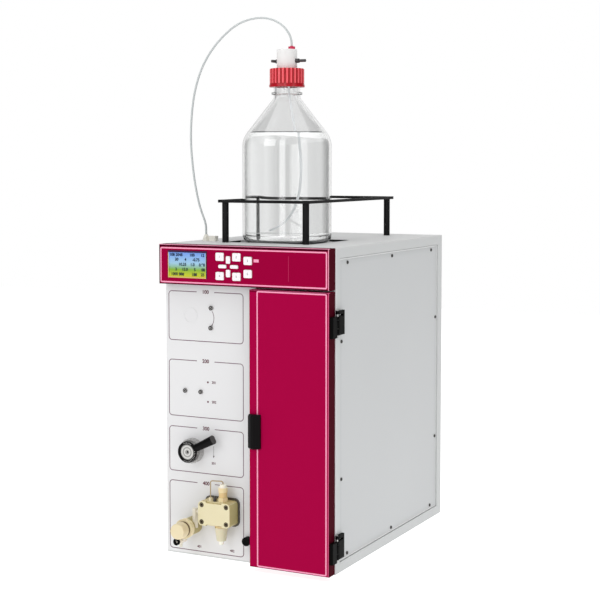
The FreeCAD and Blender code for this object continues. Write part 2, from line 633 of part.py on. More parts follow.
def door_handle():
    """Black pull with two sloping faces that meet in a ridge, on the door's free edge."""
    u0 = DOOR_U0 + 0.3
    u1 = u0 + HANDLE_W
    d0 = -FRONT_T
    outline = [(u0, d0), (u0, d0 - HANDLE_REACH / 2), (u0 + 0.35 * HANDLE_W, d0 - HANDLE_REACH),
               (u0 + 0.58 * HANDLE_W, d0 - HANDLE_REACH), (u1, d0 - HANDLE_REACH / 3), (u1, d0)]
    wire = Part.makePolygon([at(u, d, HANDLE_H0) for u, d in outline + outline[:1]])
    body = Part.Face(wire).extrude(UP * HANDLE_HT)
    edges = []
    for edge in body.Edges:
        box = edge.BoundBox
        if box.ZLength < 1e-6 and box.YMax < Y_FRONT + d0 - 1:
            edges.append(edge)
    return body.makeChamfer(2.5, edges)


def hinge(base_h):
    """One hinge: cabinet leaf, door leaf with the middle knuckle, and the pin."""
    third = HINGE_H / 3
    start = BARREL_R + 0.6
    leaf_out = CABINET_W + HINGE_REACH
    top_h = base_h + HINGE_H
    shoulder_h = top_h - EAR_H - EAR_GAP
    leaf_end = start + HINGE_LEAF_W
    cabinet = slab((CABINET_W, leaf_out), (start, leaf_end), (base_h + LEAF_STEP, top_h))
    door = slab((DOOR_U1, leaf_out), (-start - HINGE_LEAF_W + LEAF_TO_EDGE, -start), (base_h, shoulder_h))
    cabinet = soften(cabinet, 0.8, UP)
    door = soften(door, 0.8, UP)
    gap_h = (shoulder_h, top_h - EAR_H)
    cabinet = cabinet.cut(slab((CABINET_W, leaf_out), (start, leaf_end - EAR_NECK), gap_h))
    for h, end in ((base_h + LEAF_STEP, base_h + third - KNUCKLE_GAP / 2),
                   (base_h + 2 * third + KNUCKLE_GAP / 2, shoulder_h), (top_h - EAR_H, top_h)):
        length = end - h
        web = slab((PIN_U - 1.0, PIN_U + 1.0), (0, start + 0.5), (h, end))
        cabinet = cabinet.fuse([web, rod(PIN_U, 0, h, BARREL_R, length, UP)])
    middle = base_h + third + KNUCKLE_GAP / 2
    length = third - KNUCKLE_GAP
    web = slab((PIN_U - 1.0, PIN_U + 1.0), (-start - 0.5, 0), (middle, middle + length))
    door = door.fuse([web, rod(PIN_U, 0, middle, BARREL_R, length, UP)])
    bore = rod(PIN_U, 0, base_h, PIN_R, HINGE_H, UP)
    running_bore = rod(PIN_U, 0, base_h, PIN_R + PIN_GAP, HINGE_H, UP)
    pin = rod(PIN_U, 0, base_h, PIN_R, HINGE_H + 0.8, UP)
    return cabinet.cut(bore).removeSplitter(), door.cut(running_bore).removeSplitter(), pin


def column_compartment():
    """Liner behind the door with the separation column, suppressor and detector."""
    u0, u1 = WINDOW_U0 - LINER_T, WINDOW_U1 + LINER_T
    h0, h1 = WINDOW_H0 - LINER_T, WINDOW_H1 + LINER_T
    back_d = SHEET + LINER_DEPTH
    liner = slab((u0, u1), (SHEET, back_d + LINER_T), (h0, h1))
    liner = liner.cut(slab((WINDOW_U0, WINDOW_U1), (SHEET, back_d), (WINDOW_H0, WINDOW_H1)))
    parts["compartment_liner"] = liner

    top_h = COLUMN_H0 + COLUMN_L
    overlap = 4.0
    body = rod(COLUMN_U, COLUMN_D, COLUMN_H0, COLUMN_R, COLUMN_L, UP)
    low_h = COLUMN_H0 + overlap - COLUMN_FITTING_L
    lower = rod(COLUMN_U, COLUMN_D, low_h, COLUMN_FITTING_R, COLUMN_FITTING_L, UP)
    upper = rod(COLUMN_U, COLUMN_D, top_h - overlap, COLUMN_FITTING_R, COLUMN_FITTING_L, UP)
    low_nut = hexagon(COLUMN_U, COLUMN_D, low_h - COLUMN_NUT_H, COLUMN_NUT_R, COLUMN_NUT_H, UP)
    high_h = top_h - overlap + COLUMN_FITTING_L
    high_nut = hexagon(COLUMN_U, COLUMN_D, high_h, COLUMN_NUT_R, COLUMN_NUT_H, UP)
    parts["separation_column"] = join(body, lower, upper, low_nut, high_nut)

    clips = []
    bore_r = COLUMN_R + 0.1
    for h in (COLUMN_H0 + 0.2 * COLUMN_L, COLUMN_H0 + 0.72 * COLUMN_L):
        ring = tube(COLUMN_U, COLUMN_D, h, bore_r + CLIP_WALL, bore_r, CLIP_H_EACH, UP)
        mouth = slab((COLUMN_U - CLIP_MOUTH / 2, COLUMN_U + CLIP_MOUTH / 2),
                     (COLUMN_D - 2 * bore_r, COLUMN_D), (h, h + CLIP_H_EACH))
        arm = slab((COLUMN_U - 4, COLUMN_U + 4), (COLUMN_D + bore_r, back_d), (h, h + CLIP_H_EACH))
        plate = slab((COLUMN_U - CLIP_PLATE_W / 2, COLUMN_U + CLIP_PLATE_W / 2),
                     (back_d - CLIP_PLATE_T, back_d), (h - 4, h + CLIP_H_EACH + 4))
        arm = arm.cut(rod(COLUMN_U, COLUMN_D, h, bore_r, CLIP_H_EACH, UP))
        clips.append(join(ring.cut(mouth), arm, plate))
    parts["column_clips"] = group(clips)

    middle_h = SUPPRESSOR_H0 + SUPPRESSOR_HT / 2
    block = block_at(EQUIPMENT_U, middle_h, SUPPRESSOR_W, SUPPRESSOR_HT, (SUPPRESSOR_D, back_d))
    drum_d = SUPPRESSOR_D - SUPPRESSOR_DRUM_L
    drum = rod(EQUIPMENT_U, drum_d, middle_h, SUPPRESSOR_DRUM_R, SUPPRESSOR_DRUM_L)
    knob = hexagon(EQUIPMENT_U, drum_d - 6, middle_h, SUPPRESSOR_DRUM_R / 2, 6)
    parts["suppressor"] = join(soften(block, 3.0, UP), drum, knob)

    cell_d = (DETECTOR_D, back_d)
    cell = block_at(EQUIPMENT_U, DETECTOR_H0 + DETECTOR_HT / 2, DETECTOR_W, DETECTOR_HT, cell_d)
    cell = soften(cell, 3.0, BACK)
    ports = []
    for h in (DETECTOR_H0 + DETECTOR_PORT_INSET, DETECTOR_H0 + DETECTOR_HT - DETECTOR_PORT_INSET):
        ports.append(rod(EQUIPMENT_U, DETECTOR_D - DETECTOR_PORT_L, h, DETECTOR_PORT_R, DETECTOR_PORT_L))
    parts["conductivity_detector"] = join(cell, *ports)


def sample_injector():
    """Two-position injection valve with its dial and lever, and the small panel ports."""
    body = rod(INJECTOR_U, -INJECTOR_BODY_L, INJECTOR_H, INJECTOR_R, INJECTOR_BODY_L)
    grooves = []
    for step in range(INJECTOR_FLUTES):
        angle = 2 * math.pi * step / INJECTOR_FLUTES
        u = INJECTOR_U + INJECTOR_R * math.cos(angle)
        h = INJECTOR_H + INJECTOR_R * math.sin(angle)
        grooves.append(rod(u, -INJECTOR_BODY_L, h, FLUTE_R, INJECTOR_BODY_L - 1.5))
    body = body.cut(group(grooves))
    boss_d = -INJECTOR_BODY_L - DIAL_T + STATOR_BACK
    boss = rod(INJECTOR_U, boss_d, INJECTOR_H, STATOR_R, DIAL_T - STATOR_BACK)
    neck = rod(INJECTOR_U, 0, INJECTOR_H, INJECTOR_NECK_R, SHEET)
    drum = rod(INJECTOR_U, SHEET, INJECTOR_H, INJECTOR_DRUM_R, INJECTOR_DRUM_L)
    port = cone(INJECTOR_U, boss_d, INJECTOR_H, 2 * NEEDLE_PORT_R, NEEDLE_PORT_R, NEEDLE_PORT_R, BACK)
    port = port.fuse(rod(INJECTOR_U, boss_d, INJECTOR_H, NEEDLE_PORT_R, NEEDLE_PORT_L))
    parts["injector_body"] = join(body, boss, neck, drum).cut(port)

    dial_d = -INJECTOR_BODY_L - DIAL_GAP
    dial = tube(INJECTOR_U, dial_d - DIAL_T, INJECTOR_H, DIAL_R, STATOR_R + TURN_GAP, DIAL_T)
    front_rim = [e for e in dial.Edges if abs(e.BoundBox.YMin - (Y_FRONT + dial_d - DIAL_T)) < 1e-6
                 and abs(e.BoundBox.YMax - (Y_FRONT + dial_d - DIAL_T)) < 1e-6]
    dial = dial.makeFillet(1.2, front_rim)
    angle = math.radians(LEVER_ANGLE)
    along = Vector(math.cos(angle), 0, math.sin(angle))
    start = (STATOR_R + DIAL_R) / 2
    root = at(INJECTOR_U, dial_d - DIAL_T / 2, INJECTOR_H) + along * start
    arm = Part.makeCone(LEVER_ROOT_R, LEVER_TIP_R, LEVER_REACH - start, root, along)
    tip = [e for e in arm.Edges if e.Curve.TypeId == "Part::GeomCircle"
           and (e.Curve.Center - root).Length > 5]
    arm = arm.makeFillet(1.0, tip)
    hub = rod(INJECTOR_U, dial_d - DIAL_T, INJECTOR_H, STATOR_R + TURN_GAP, DIAL_T)
    behind = rod(INJECTOR_U, dial_d, INJECTOR_H, LEVER_REACH + 5, DIAL_T)
    parts["injector_handle"] = join(dial, arm.cut(hub).cut(behind))

    ports = []
    for u, h in PORT_PLACES:
        boss = rod(u, -PORT_PROUD, h, PORT_R, PORT_PROUD)
        stem = rod(u, 0, h, PORT_STEM_R, PORT_STEM_L)
        ports.append(join(boss, stem).cut(rod(u, -PORT_PROUD, h, PORT_BORE_R, 2 * PORT_PROUD)))
    waste = rod(WASTE_U, -WASTE_L, WASTE_H, WASTE_R, WASTE_L)
    ports.append(join(waste, rod(WASTE_U, 0, WASTE_H, PORT_STEM_R, PORT_STEM_L)))
    drain_d = -PURGE_BODY_L - DRAIN_CAP_T + 1.0
    ports.append(tube(DRAIN_U, drain_d, DRAIN_H, DRAIN_R, DRAIN_BORE_R, DRAIN_CAP_T))
    parts["panel_ports"] = group(ports)


def eluent_pump():
    """Pump drive behind the panel, and the pump head with its valves and capillaries."""
    over = 2 * PUMP_FLANGE_OVER
    flange = block_at(PUMP_U, PUMP_H, PUMP_W + over - 2, PUMP_HT + over, (-PUMP_FLANGE_T, 0))
    flange = soften(flange, PUMP_FLANGE_R, BACK)
    neck = block_at(PUMP_U, PUMP_H, PUMP_NECK_W, PUMP_NECK_HT, (0, SHEET))
    gearbox = slab((PUMP_U - DRIVE_W / 2, PUMP_U + DRIVE_W / 2), (SHEET, DRIVE_L),
                   (PUMP_H - DRIVE_BELOW, PUMP_H + DRIVE_ABOVE))
    gearbox = soften(gearbox, 4.0, BACK)
    motor = rod(PUMP_U, DRIVE_L, PUMP_H, MOTOR_R, MOTOR_L)
    end_cap = rod(PUMP_U, DRIVE_L + MOTOR_L, PUMP_H, MOTOR_CAP_R, MOTOR_CAP_L)
    drive = join(flange, neck, gearbox, motor, end_cap)

    head_d = (-PUMP_FRONT, -PUMP_FLANGE_T)
    head = soften(block_at(PUMP_U, PUMP_H, PUMP_W, PUMP_HT, head_d), PUMP_CORNER_R, BACK)
    for side in (-1, 1):
        notch = block_at(PUMP_U, PUMP_H + side * PUMP_HT / 2, PUMP_NOTCH_W, 2 * PUMP_NOTCH_R,
                         (head_d[0], head_d[0] + PUMP_NOTCH_L))
        head = head.cut(soften(notch, 0.9 * PUMP_NOTCH_R, BACK))
    screws = []
    sink = 0.4
    for su in (-1, 1):
        for sh in (-1, 1):
            u, h = PUMP_U + su * PUMP_SCREW_DU, PUMP_H + sh * PUMP_SCREW_DH
            head = head.cut(rod(u, head_d[0], h, PUMP_SCREW_HEAD_R + 0.2, PUMP_SCREW_HEAD_L + sink))
            head = head.cut(rod(u, head_d[0], h, PUMP_SCREW_R + 0.1, head_d[1] - head_d[0]))
            drive = drive.cut(rod(u, -PUMP_FLANGE_T, h, PUMP_SCREW_R + 0.05, PUMP_FLANGE_T))
            cap = rod(u, head_d[0] + sink, h, PUMP_SCREW_HEAD_R, PUMP_SCREW_HEAD_L)
            cap = cap.cut(hexagon(u, head_d[0] + sink, h, PUMP_SCREW_R, PUMP_SCREW_HEAD_L / 2))
            shank_d = head_d[0] + sink + PUMP_SCREW_HEAD_L
            screws.append(join(cap, rod(u, shank_d, h, PUMP_SCREW_R, -shank_d)))
    parts["pump_drive"] = drive
    parts["pump_head"] = head
    parts["pump_head_screws"] = group(screws)

    top_h, bottom_h = PUMP_H + PUMP_HT / 2, PUMP_H - PUMP_HT / 2
    body_h = top_h + OUTLET_HEX_H
    cap_h = body_h + OUTLET_H
    tip_h = cap_h + OUTLET_CAP_H
    outlet = join(hexagon(OUTLET_U, VALVE_D, top_h, OUTLET_HEX_R, OUTLET_HEX_H, UP),
                  rod(OUTLET_U, VALVE_D, body_h, OUTLET_R, OUTLET_H, UP),
                  rod(OUTLET_U, VALVE_D, cap_h, OUTLET_CAP_R, OUTLET_CAP_H, UP),
                  cone(OUTLET_U, VALVE_D, tip_h, OUTLET_CAP_R - 1, OUTLET_TIP_R, OUTLET_TIP_H))
    nut_h = bottom_h - INLET_COLLAR_H - INLET_NUT_H
    low_h = nut_h - INLET_TIP_H
    inlet = join(rod(INLET_VALVE_U, VALVE_D, bottom_h - INLET_COLLAR_H, INLET_COLLAR_R, INLET_COLLAR_H, UP),
                 cone(INLET_VALVE_U, VALVE_D, nut_h, INLET_LOW_R, INLET_TOP_R, INLET_NUT_H),
                 cone(INLET_VALVE_U, VALVE_D, low_h, INLET_TIP_R - 1, INLET_TIP_R, INLET_TIP_H))
    parts["check_valves"] = group([outlet, inlet])
    valve_top = tip_h + OUTLET_TIP_H
    parts["pump_capillaries"] = group([pump_loop(top_h, valve_top), spare_nut(top_h), purge_line()])


def pump_loop(top_h, valve_top):
    """Capillary from a small nut on the pump head, up, across and down into the outlet valve."""
    nut = hexagon(CAPILLARY_U, CAPILLARY_D, top_h, CAPILLARY_NUT_R, CAPILLARY_NUT_H, UP)
    start = at(CAPILLARY_U, CAPILLARY_D, top_h + CAPILLARY_NUT_H)
    end = at(OUTLET_U, VALVE_D, valve_top)
    corner = at(CAPILLARY_U, CAPILLARY_D, CAPILLARY_TOP)
    far = Vector(end.x, end.y, corner.z)
    across = (far - corner).normalize()
    r = min(CAPILLARY_BEND_R, corner.z - end.z - 0.2)
    near = r * (1 - math.sqrt(0.5))
    before, after = corner - UP * r, corner + across * r
    pieces = [Part.LineSegment(start, before).toShape()]
    pieces.append(Part.Arc(before, corner + across * near - UP * near, after).toShape())
    before = far - across * r
    pieces.append(Part.LineSegment(after, before).toShape())
    after = far - UP * r
    pieces.append(Part.Arc(before, far - across * near - UP * near, after).toShape())
    pieces.append(Part.LineSegment(after, end).toShape())
    section = Part.Wire(Part.Circle(start, UP, CAPILLARY_R).toShape())
    return join(nut, Part.Wire(pieces).makePipeShell([section], True, True))


def spare_nut(top_h):
    """Plugged nut beside the first, with a short stub of capillary."""
    u = CAPILLARY_U + SPARE_NUT_RIGHT
    nut = hexagon(u, CAPILLARY_D, top_h, CAPILLARY_NUT_R, CAPILLARY_NUT_H, UP)
    return join(nut, rod(u, CAPILLARY_D, top_h + CAPILLARY_NUT_H, 1.5 * CAPILLARY_R, SPARE_STUB_L, UP))


def purge_line():
    """Fitting from the pump head's side, turned down into the purge valve."""
    turn_u, line_h = PURGE_ELBOW_U, PUMP_H - 1.5
    run = rod(turn_u, PURGE_LINE_D, line_h, PURGE_LINE_R, PUMP_U - PUMP_W / 2 - turn_u, RIGHT)
    nut = hexagon(turn_u, PURGE_LINE_D, PURGE_H, CAPILLARY_NUT_R + 1.6, line_h + 4.5 - PURGE_H, UP)
    end_nut = hexagon(turn_u + 5.4, PURGE_LINE_D, line_h, CAPILLARY_NUT_R + 1, CAPILLARY_NUT_H, RIGHT)
    shell = rod(PURGE_U, -PURGE_BODY_L, PURGE_H, PURGE_R + 0.02, PURGE_BODY_L)
    flange = rod(PURGE_U, -PURGE_BODY_L, PURGE_H, PURGE_FLANGE_R + 0.02, PURGE_FLANGE_T)
    return join(run, nut, end_nut).cut(shell).cut(flange)


def purge_valve():
    """Purge valve body with its drain elbow, and the round knob that opens it."""
    barrel = rod(PURGE_U, -PURGE_BODY_L, PURGE_H, PURGE_R, PURGE_BODY_L)
    flange = rod(PURGE_U, -PURGE_BODY_L, PURGE_H, PURGE_FLANGE_R, PURGE_FLANGE_T)
    rear = join(rod(PURGE_U, 0, PURGE_H, PURGE_STEM_R, SHEET),
                rod(PURGE_U, SHEET, PURGE_H, PURGE_NUT_R, PURGE_NUT_L))
    outlet = rod(DRAIN_U, -PURGE_BODY_L + 1.0, DRAIN_H, DRAIN_R, DRAIN_L)
    rise_d = -PURGE_BODY_L + 0.7 * DRAIN_L
    rise = rod(DRAIN_U + 0.8 * DRAIN_R, rise_d, DRAIN_H, 0.85 * DRAIN_R, PURGE_H - DRAIN_H, UP)
    spout = rod(DRAIN_U + 2.0, -PURGE_BODY_L + 8.0, DRAIN_H - 9.0, DRAIN_BORE_R, 9, UP)
    body = join(barrel, flange, rear, outlet, rise, spout)
    bore = rod(PURGE_U, -PURGE_BODY_L, PURGE_H, KNOB_SHAFT_R + TURN_GAP, KNOB_SHAFT_L + 1.0)
    parts["purge_valve_body"] = body.cut(bore)

    front_d = -KNOB_REACH
    knob = rod(PURGE_U, front_d, PURGE_H, KNOB_R, KNOB_REACH - PURGE_BODY_L - KNOB_GAP)
    rim = [e for e in knob.Edges if abs(e.BoundBox.YMax - (Y_FRONT + front_d)) < 1e-6]
    knob = knob.makeFillet(1.2, rim)
    groove_d = -PURGE_BODY_L - KNOB_GAP - 1.7 * KNOB_GROOVE_W
    groove = tube(PURGE_U, groove_d, PURGE_H, KNOB_R + 1, KNOB_R - KNOB_GROOVE_T, KNOB_GROOVE_W)
    shaft = rod(PURGE_U, -PURGE_BODY_L - KNOB_GAP, PURGE_H, KNOB_SHAFT_R, KNOB_SHAFT_L)
    parts["purge_knob"] = join(knob.cut(groove), shaft)


def rear_equipment():
    """Fan, mains inlet with its rocker, power supply and main board."""
    back_d = CABINET_D - SHEET
    cooling_fan(back_d)
    mains_inlet()

    supply_d = (CABINET_D - SUPPLY_FROM_REAR - SUPPLY_L, CABINET_D - SUPPLY_FROM_REAR)
    supply = slab((SUPPLY_U, SUPPLY_U + SUPPLY_W), supply_d, (SHEET, SHEET + SUPPLY_HT))
    lip = SUPPLY_LIP
    lid_h = SHEET + SUPPLY_HT - 4 * lip
    lid = slab((SUPPLY_U - lip, SUPPLY_U + SUPPLY_W + lip), (supply_d[0] - lip, supply_d[1] + lip),
               (lid_h, lid_h + 2 * lip))
    parts["power_supply"] = join(soften(supply, 2.0, UP), lid)

    board_d = back_d - MAIN_STANDOFF
    board_t = BOARD_T
    pieces = [slab((MAIN_U, MAIN_U + MAIN_W), (board_d - board_t, board_d), (MAIN_H, MAIN_H + MAIN_HT))]
    rim_d = CABINET_D + 2.5
    for u in signal_places():
        shell = soften(block_at(u, SIGNAL_H, SIGNAL_W, SIGNAL_HT, (board_d, rim_d)), 1.5, BACK)
        recess = block_at(u, SIGNAL_H, SIGNAL_W - 2.4, SIGNAL_HT - 2.4, (rim_d - 3.0, rim_d))
        pieces.append(shell.cut(recess))
    for u in (MAIN_U + 6, MAIN_U + MAIN_W - 6):
        for h in (MAIN_H + 6, MAIN_H + MAIN_HT - 6):
            pieces.append(rod(u, board_d, h, 3.0, MAIN_STANDOFF))
    parts["main_board"] = join(*pieces)


def cooling_fan(back_d):
    """Fan housing on the rear wall, its rotor, and the wire guard outside."""
    half = FAN_SIZE / 2
    front_d = back_d - FAN_DEPTH
    housing = soften(block_at(FAN_U, FAN_H, FAN_SIZE, FAN_SIZE, (front_d, back_d)), 4, BACK)
    housing = housing.cut(rod(FAN_U, front_d, FAN_H, FAN_BORE_R, FAN_DEPTH))
    hub_t = FAN_STRUT_T + 1.0
    hub = rod(FAN_U, front_d, FAN_H, FAN_HUB_R, hub_t)
    struts = []
    for step in range(4):
        strut = slab((FAN_U - FAN_STRUT_T / 2, FAN_U + FAN_STRUT_T / 2), (front_d, front_d + FAN_STRUT_T),
                     (FAN_H + FAN_HUB_R - 1, FAN_H + FAN_BORE_R + 1))
        strut.rotate(at(FAN_U, 0, FAN_H), BACK, 45 + 90 * step)
        struts.append(strut)
    housing = join(housing, hub, *struts)
    parts["fan_housing"] = housing.cut(rod(FAN_U, front_d, FAN_H, FAN_SHAFT_R + TURN_GAP, hub_t))

    rotor_d = front_d + hub_t + 0.4
    rotor = rod(FAN_U, rotor_d, FAN_H, FAN_HUB_R, FAN_HUB_L)
    sweep = rod(FAN_U, rotor_d, FAN_H, FAN_TIP_R, FAN_HUB_L)
    middle_d = rotor_d + FAN_HUB_L / 2
    blades = []
    for step in range(FAN_BLADES):
        blade = slab((FAN_U - FAN_BLADE_W / 2, FAN_U + FAN_BLADE_W / 2),
                     (middle_d - FAN_BLADE_T / 2, middle_d + FAN_BLADE_T / 2),
                     (FAN_H + FAN_HUB_R - 3, FAN_H + FAN_TIP_R))
        blade.rotate(at(FAN_U, middle_d, FAN_H), UP, FAN_PITCH_DEG)
        blade.rotate(at(FAN_U, 0, FAN_H), BACK, 360 / FAN_BLADES * step)
        blades.append(blade.common(sweep))
    shaft = rod(FAN_U, front_d + 0.5, FAN_H, FAN_SHAFT_R, hub_t)
    parts["fan_rotor"] = join(rotor, shaft, *blades)

    wire_d = GUARD_REACH - 1.5 * GUARD_WIRE_R
    rings = []
    centre = at(FAN_U, CABINET_D + wire_d, FAN_H)
    for radius in GUARD_RINGS:
        rings.append(Part.makeTorus(radius, GUARD_WIRE_R, centre, BACK, 0, 360, 360))
    spoke_d = (CABINET_D + wire_d - 1.0, CABINET_D + wire_d + 0.6)
    foot_u = (FAN_U - GUARD_FOOT / 2, FAN_U + GUARD_FOOT / 2)
    foot_h = (FAN_H + half + GUARD_FOOT / 2, FAN_H + half + 1.5 * GUARD_FOOT)
    for step in range(4):
        spoke = slab((FAN_U - 1, FAN_U + 1), spoke_d, (FAN_H + 8, foot_h[0] + 3))
        spoke = spoke.fuse(slab(foot_u, (CABINET_D, spoke_d[1]), foot_h))
        spoke.rotate(at(FAN_U, 0, FAN_H), BACK, 45 + 90 * step)
        rings.append(spoke)
    hub_disc = rod(FAN_U, spoke_d[0], FAN_H, 9.0, CABINET_D + GUARD_REACH - spoke_d[0])
    parts["fan_guard"] = join(hub_disc, *rings)


def mains_inlet():
    """Mains inlet module with a socket on the left and the rocker on the right, seen from behind."""
    face_d = CABINET_D + INLET_FLANGE_T
    module = soften(block_at(INLET_U, INLET_H, INLET_W, INLET_HT, (CABINET_D, face_d)), 3.0, BACK)
    inset = 2 * (INLET_FLANGE + 0.2)
    body_d = (CABINET_D - INLET_BODY_L, CABINET_D)
    body = block_at(INLET_U, INLET_H, INLET_W - inset, INLET_HT - inset, body_d)
    module = join(module, body)
    socket_u = INLET_U + SOCKET_RIGHT
    cavity = block_at(socket_u, INLET_H, SOCKET_W, SOCKET_HT, (CABINET_D - SOCKET_L, face_d))
    module = module.cut(soften(cavity, 2.5, BACK))
    pin_d = (CABINET_D - SOCKET_L, CABINET_D - 4)
    for du, dh in ((-7, -1.5), (0, 3.0), (7, -1.5)):
        module = module.fuse(block_at(socket_u + du, INLET_H + dh, 2, 4, pin_d))
    rocker_u = INLET_U - ROCKER_LEFT
    pit_d = (CABINET_D - ROCKER_PIT, face_d)
    pit = block_at(rocker_u, INLET_H, ROCKER_W + 0.8, 2 * ROCKER_HALF + 2.0, pit_d)
    module = module.cut(pit)
    pivot_d = CABINET_D - PIVOT_D
    axle_start = rocker_u - ROCKER_W / 2 - 2.0
    module = module.cut(rod(axle_start, pivot_d, INLET_H, PIVOT_R + TURN_GAP, ROCKER_W + 4.0, RIGHT))
    parts["power_inlet"] = module

    profile = [(-ROCKER_HALF, 0.0), (0.0, -1.2), (ROCKER_HALF, 0.0), (ROCKER_HALF - 1.6, -5.2), (1.5, -8.0),
               (-1.5, -8.0), (-ROCKER_HALF + 1.6, -5.2)]
    face_u, face_d = rocker_u - ROCKER_W / 2, CABINET_D + 2.6
    points = [at(face_u, face_d + depth, INLET_H + rise) for rise, depth in profile]
    rocker = Part.Face(Part.makePolygon(points + points[:1])).extrude(RIGHT * ROCKER_W)
    axle = rod(axle_start + 0.4, pivot_d, INLET_H, PIVOT_R, ROCKER_W + 3.2, RIGHT)
    rocker = join(rocker, axle)
    rocker.rotate(at(rocker_u, pivot_d, INLET_H), RIGHT, -ROCKER_TILT)
    parts["power_rocker"] = rocker


def bottle_rail():
    """Black rail: a bent bar outside four posts that stand on the top cover."""
    offset = POST_R + BAR_T / 2
    left, right = WELL_U - RAIL_W / 2 - offset, WELL_U + RAIL_W / 2 + offset
    front, rear = RAIL_FRONT - offset, RAIL_FRONT + RAIL_L + offset
    half = BAR_T / 2
    bar_h = (CABINET_H + RAIL_Z - half, CABINET_H + RAIL_Z + half)
    ring = soften(slab((left - half, right + half), (front - half, rear + half), bar_h), 4.0, UP)
    inner = slab((left + half, right - half), (front + half, rear - half), bar_h)
    ring = ring.cut(soften(inner, 1.0, UP))
    posts = []
    for u, d in post_places():
        posts.append(rod(u, d, CABINET_H, POST_R, RAIL_Z + half, UP))
        posts.append(rod(u, d, CABINET_H - SPIGOT_L, SPIGOT_R, SPIGOT_L, UP))
    parts["bottle_rail"] = join(ring, *posts)


def line(a, b):
    return Part.LineSegment(Vector(a[0], 0, a[1]), Vector(b[0], 0, b[1])).toShape()


def turn(centre, radius, start_deg, end_deg):
    """Arc about a centre in the profile plane."""
    ends = []
    for angle in (start_deg, (start_deg + end_deg) / 2, end_deg):
        angle = math.radians(angle)
        ends.append(Vector(centre[0] + radius * math.cos(angle), 0, centre[1] + radius * math.sin(angle)))
    return Part.Arc(*ends).toShape(), (ends[0].x, ends[0].z), (ends[2].x, ends[2].z)


def bottle_outline(inset, base, top):
    """Half profile of the bottle, moved inwards by a wall, from the base centre up to a height."""
    z0 = TRAY_FLOOR + base
    body_r, neck_r = BOTTLE_R - inset, NECK_R - inset
    heel = BOTTLE_HEEL_R - inset
    shoulder = (BOTTLE_R - SHOULDER_R, TRAY_FLOOR + SHOULDER_H)
    neck = (NECK_R + NECK_BLEND_R, TRAY_FLOOR + NECK_BASE)
    low_arc, heel_start, heel_end = turn((body_r - heel, z0 + heel), heel, -90, 0)
    high_arc, arc_start, arc_end = turn(shoulder, SHOULDER_R - inset, 0, SHOULDER_DEG)
    neck_arc, blend_start, blend_end = turn(neck, NECK_BLEND_R + inset, 180 + SHOULDER_DEG, 180)
    lower = [line((0, z0), heel_start), low_arc, line(heel_end, arc_start), high_arc]
    upper = [line(arc_end, blend_start), neck_arc, line(blend_end, (neck_r, top))]
    return lower + upper + [line((neck_r, top), (0, top)), line((0, top), (0, z0))]


def bottle():
    """Glass bottle and its filling."""
    outer = revolve_profile(bottle_outline(0, 0, BOTTLE_TOP), BOTTLE_U, BOTTLE_D)
    ring_h = TRAY_FLOOR + NECK_BASE + NECK_RING_UP - NECK_RING_T / 2
    ring = rod(BOTTLE_U, BOTTLE_D, ring_h, NECK_RING_R, NECK_RING_T, UP)
    ring = ring.makeFillet(1.4, [e for e in ring.Edges if e.Curve.TypeId == "Part::GeomCircle"])
    base = BOTTLE_WALL + BASE_THICKER
    inner = revolve_profile(bottle_outline(BOTTLE_WALL, base, BOTTLE_TOP), BOTTLE_U, BOTTLE_D)
    parts["glass_bottle"] = join(outer, ring).cut(inner)

    inset = BOTTLE_WALL + LIQUID_GAP
    filling = revolve_profile(bottle_outline(inset, inset + BASE_THICKER, BOTTLE_TOP), BOTTLE_U, BOTTLE_D)
    level = TRAY_FLOOR + LIQUID_H
    around = BOTTLE_R + 5
    above = slab((BOTTLE_U - around, BOTTLE_U + around), (BOTTLE_D - around, BOTTLE_D + around),
                 (level, BOTTLE_TOP + 5))
    parts["eluent"] = filling.cut(above)


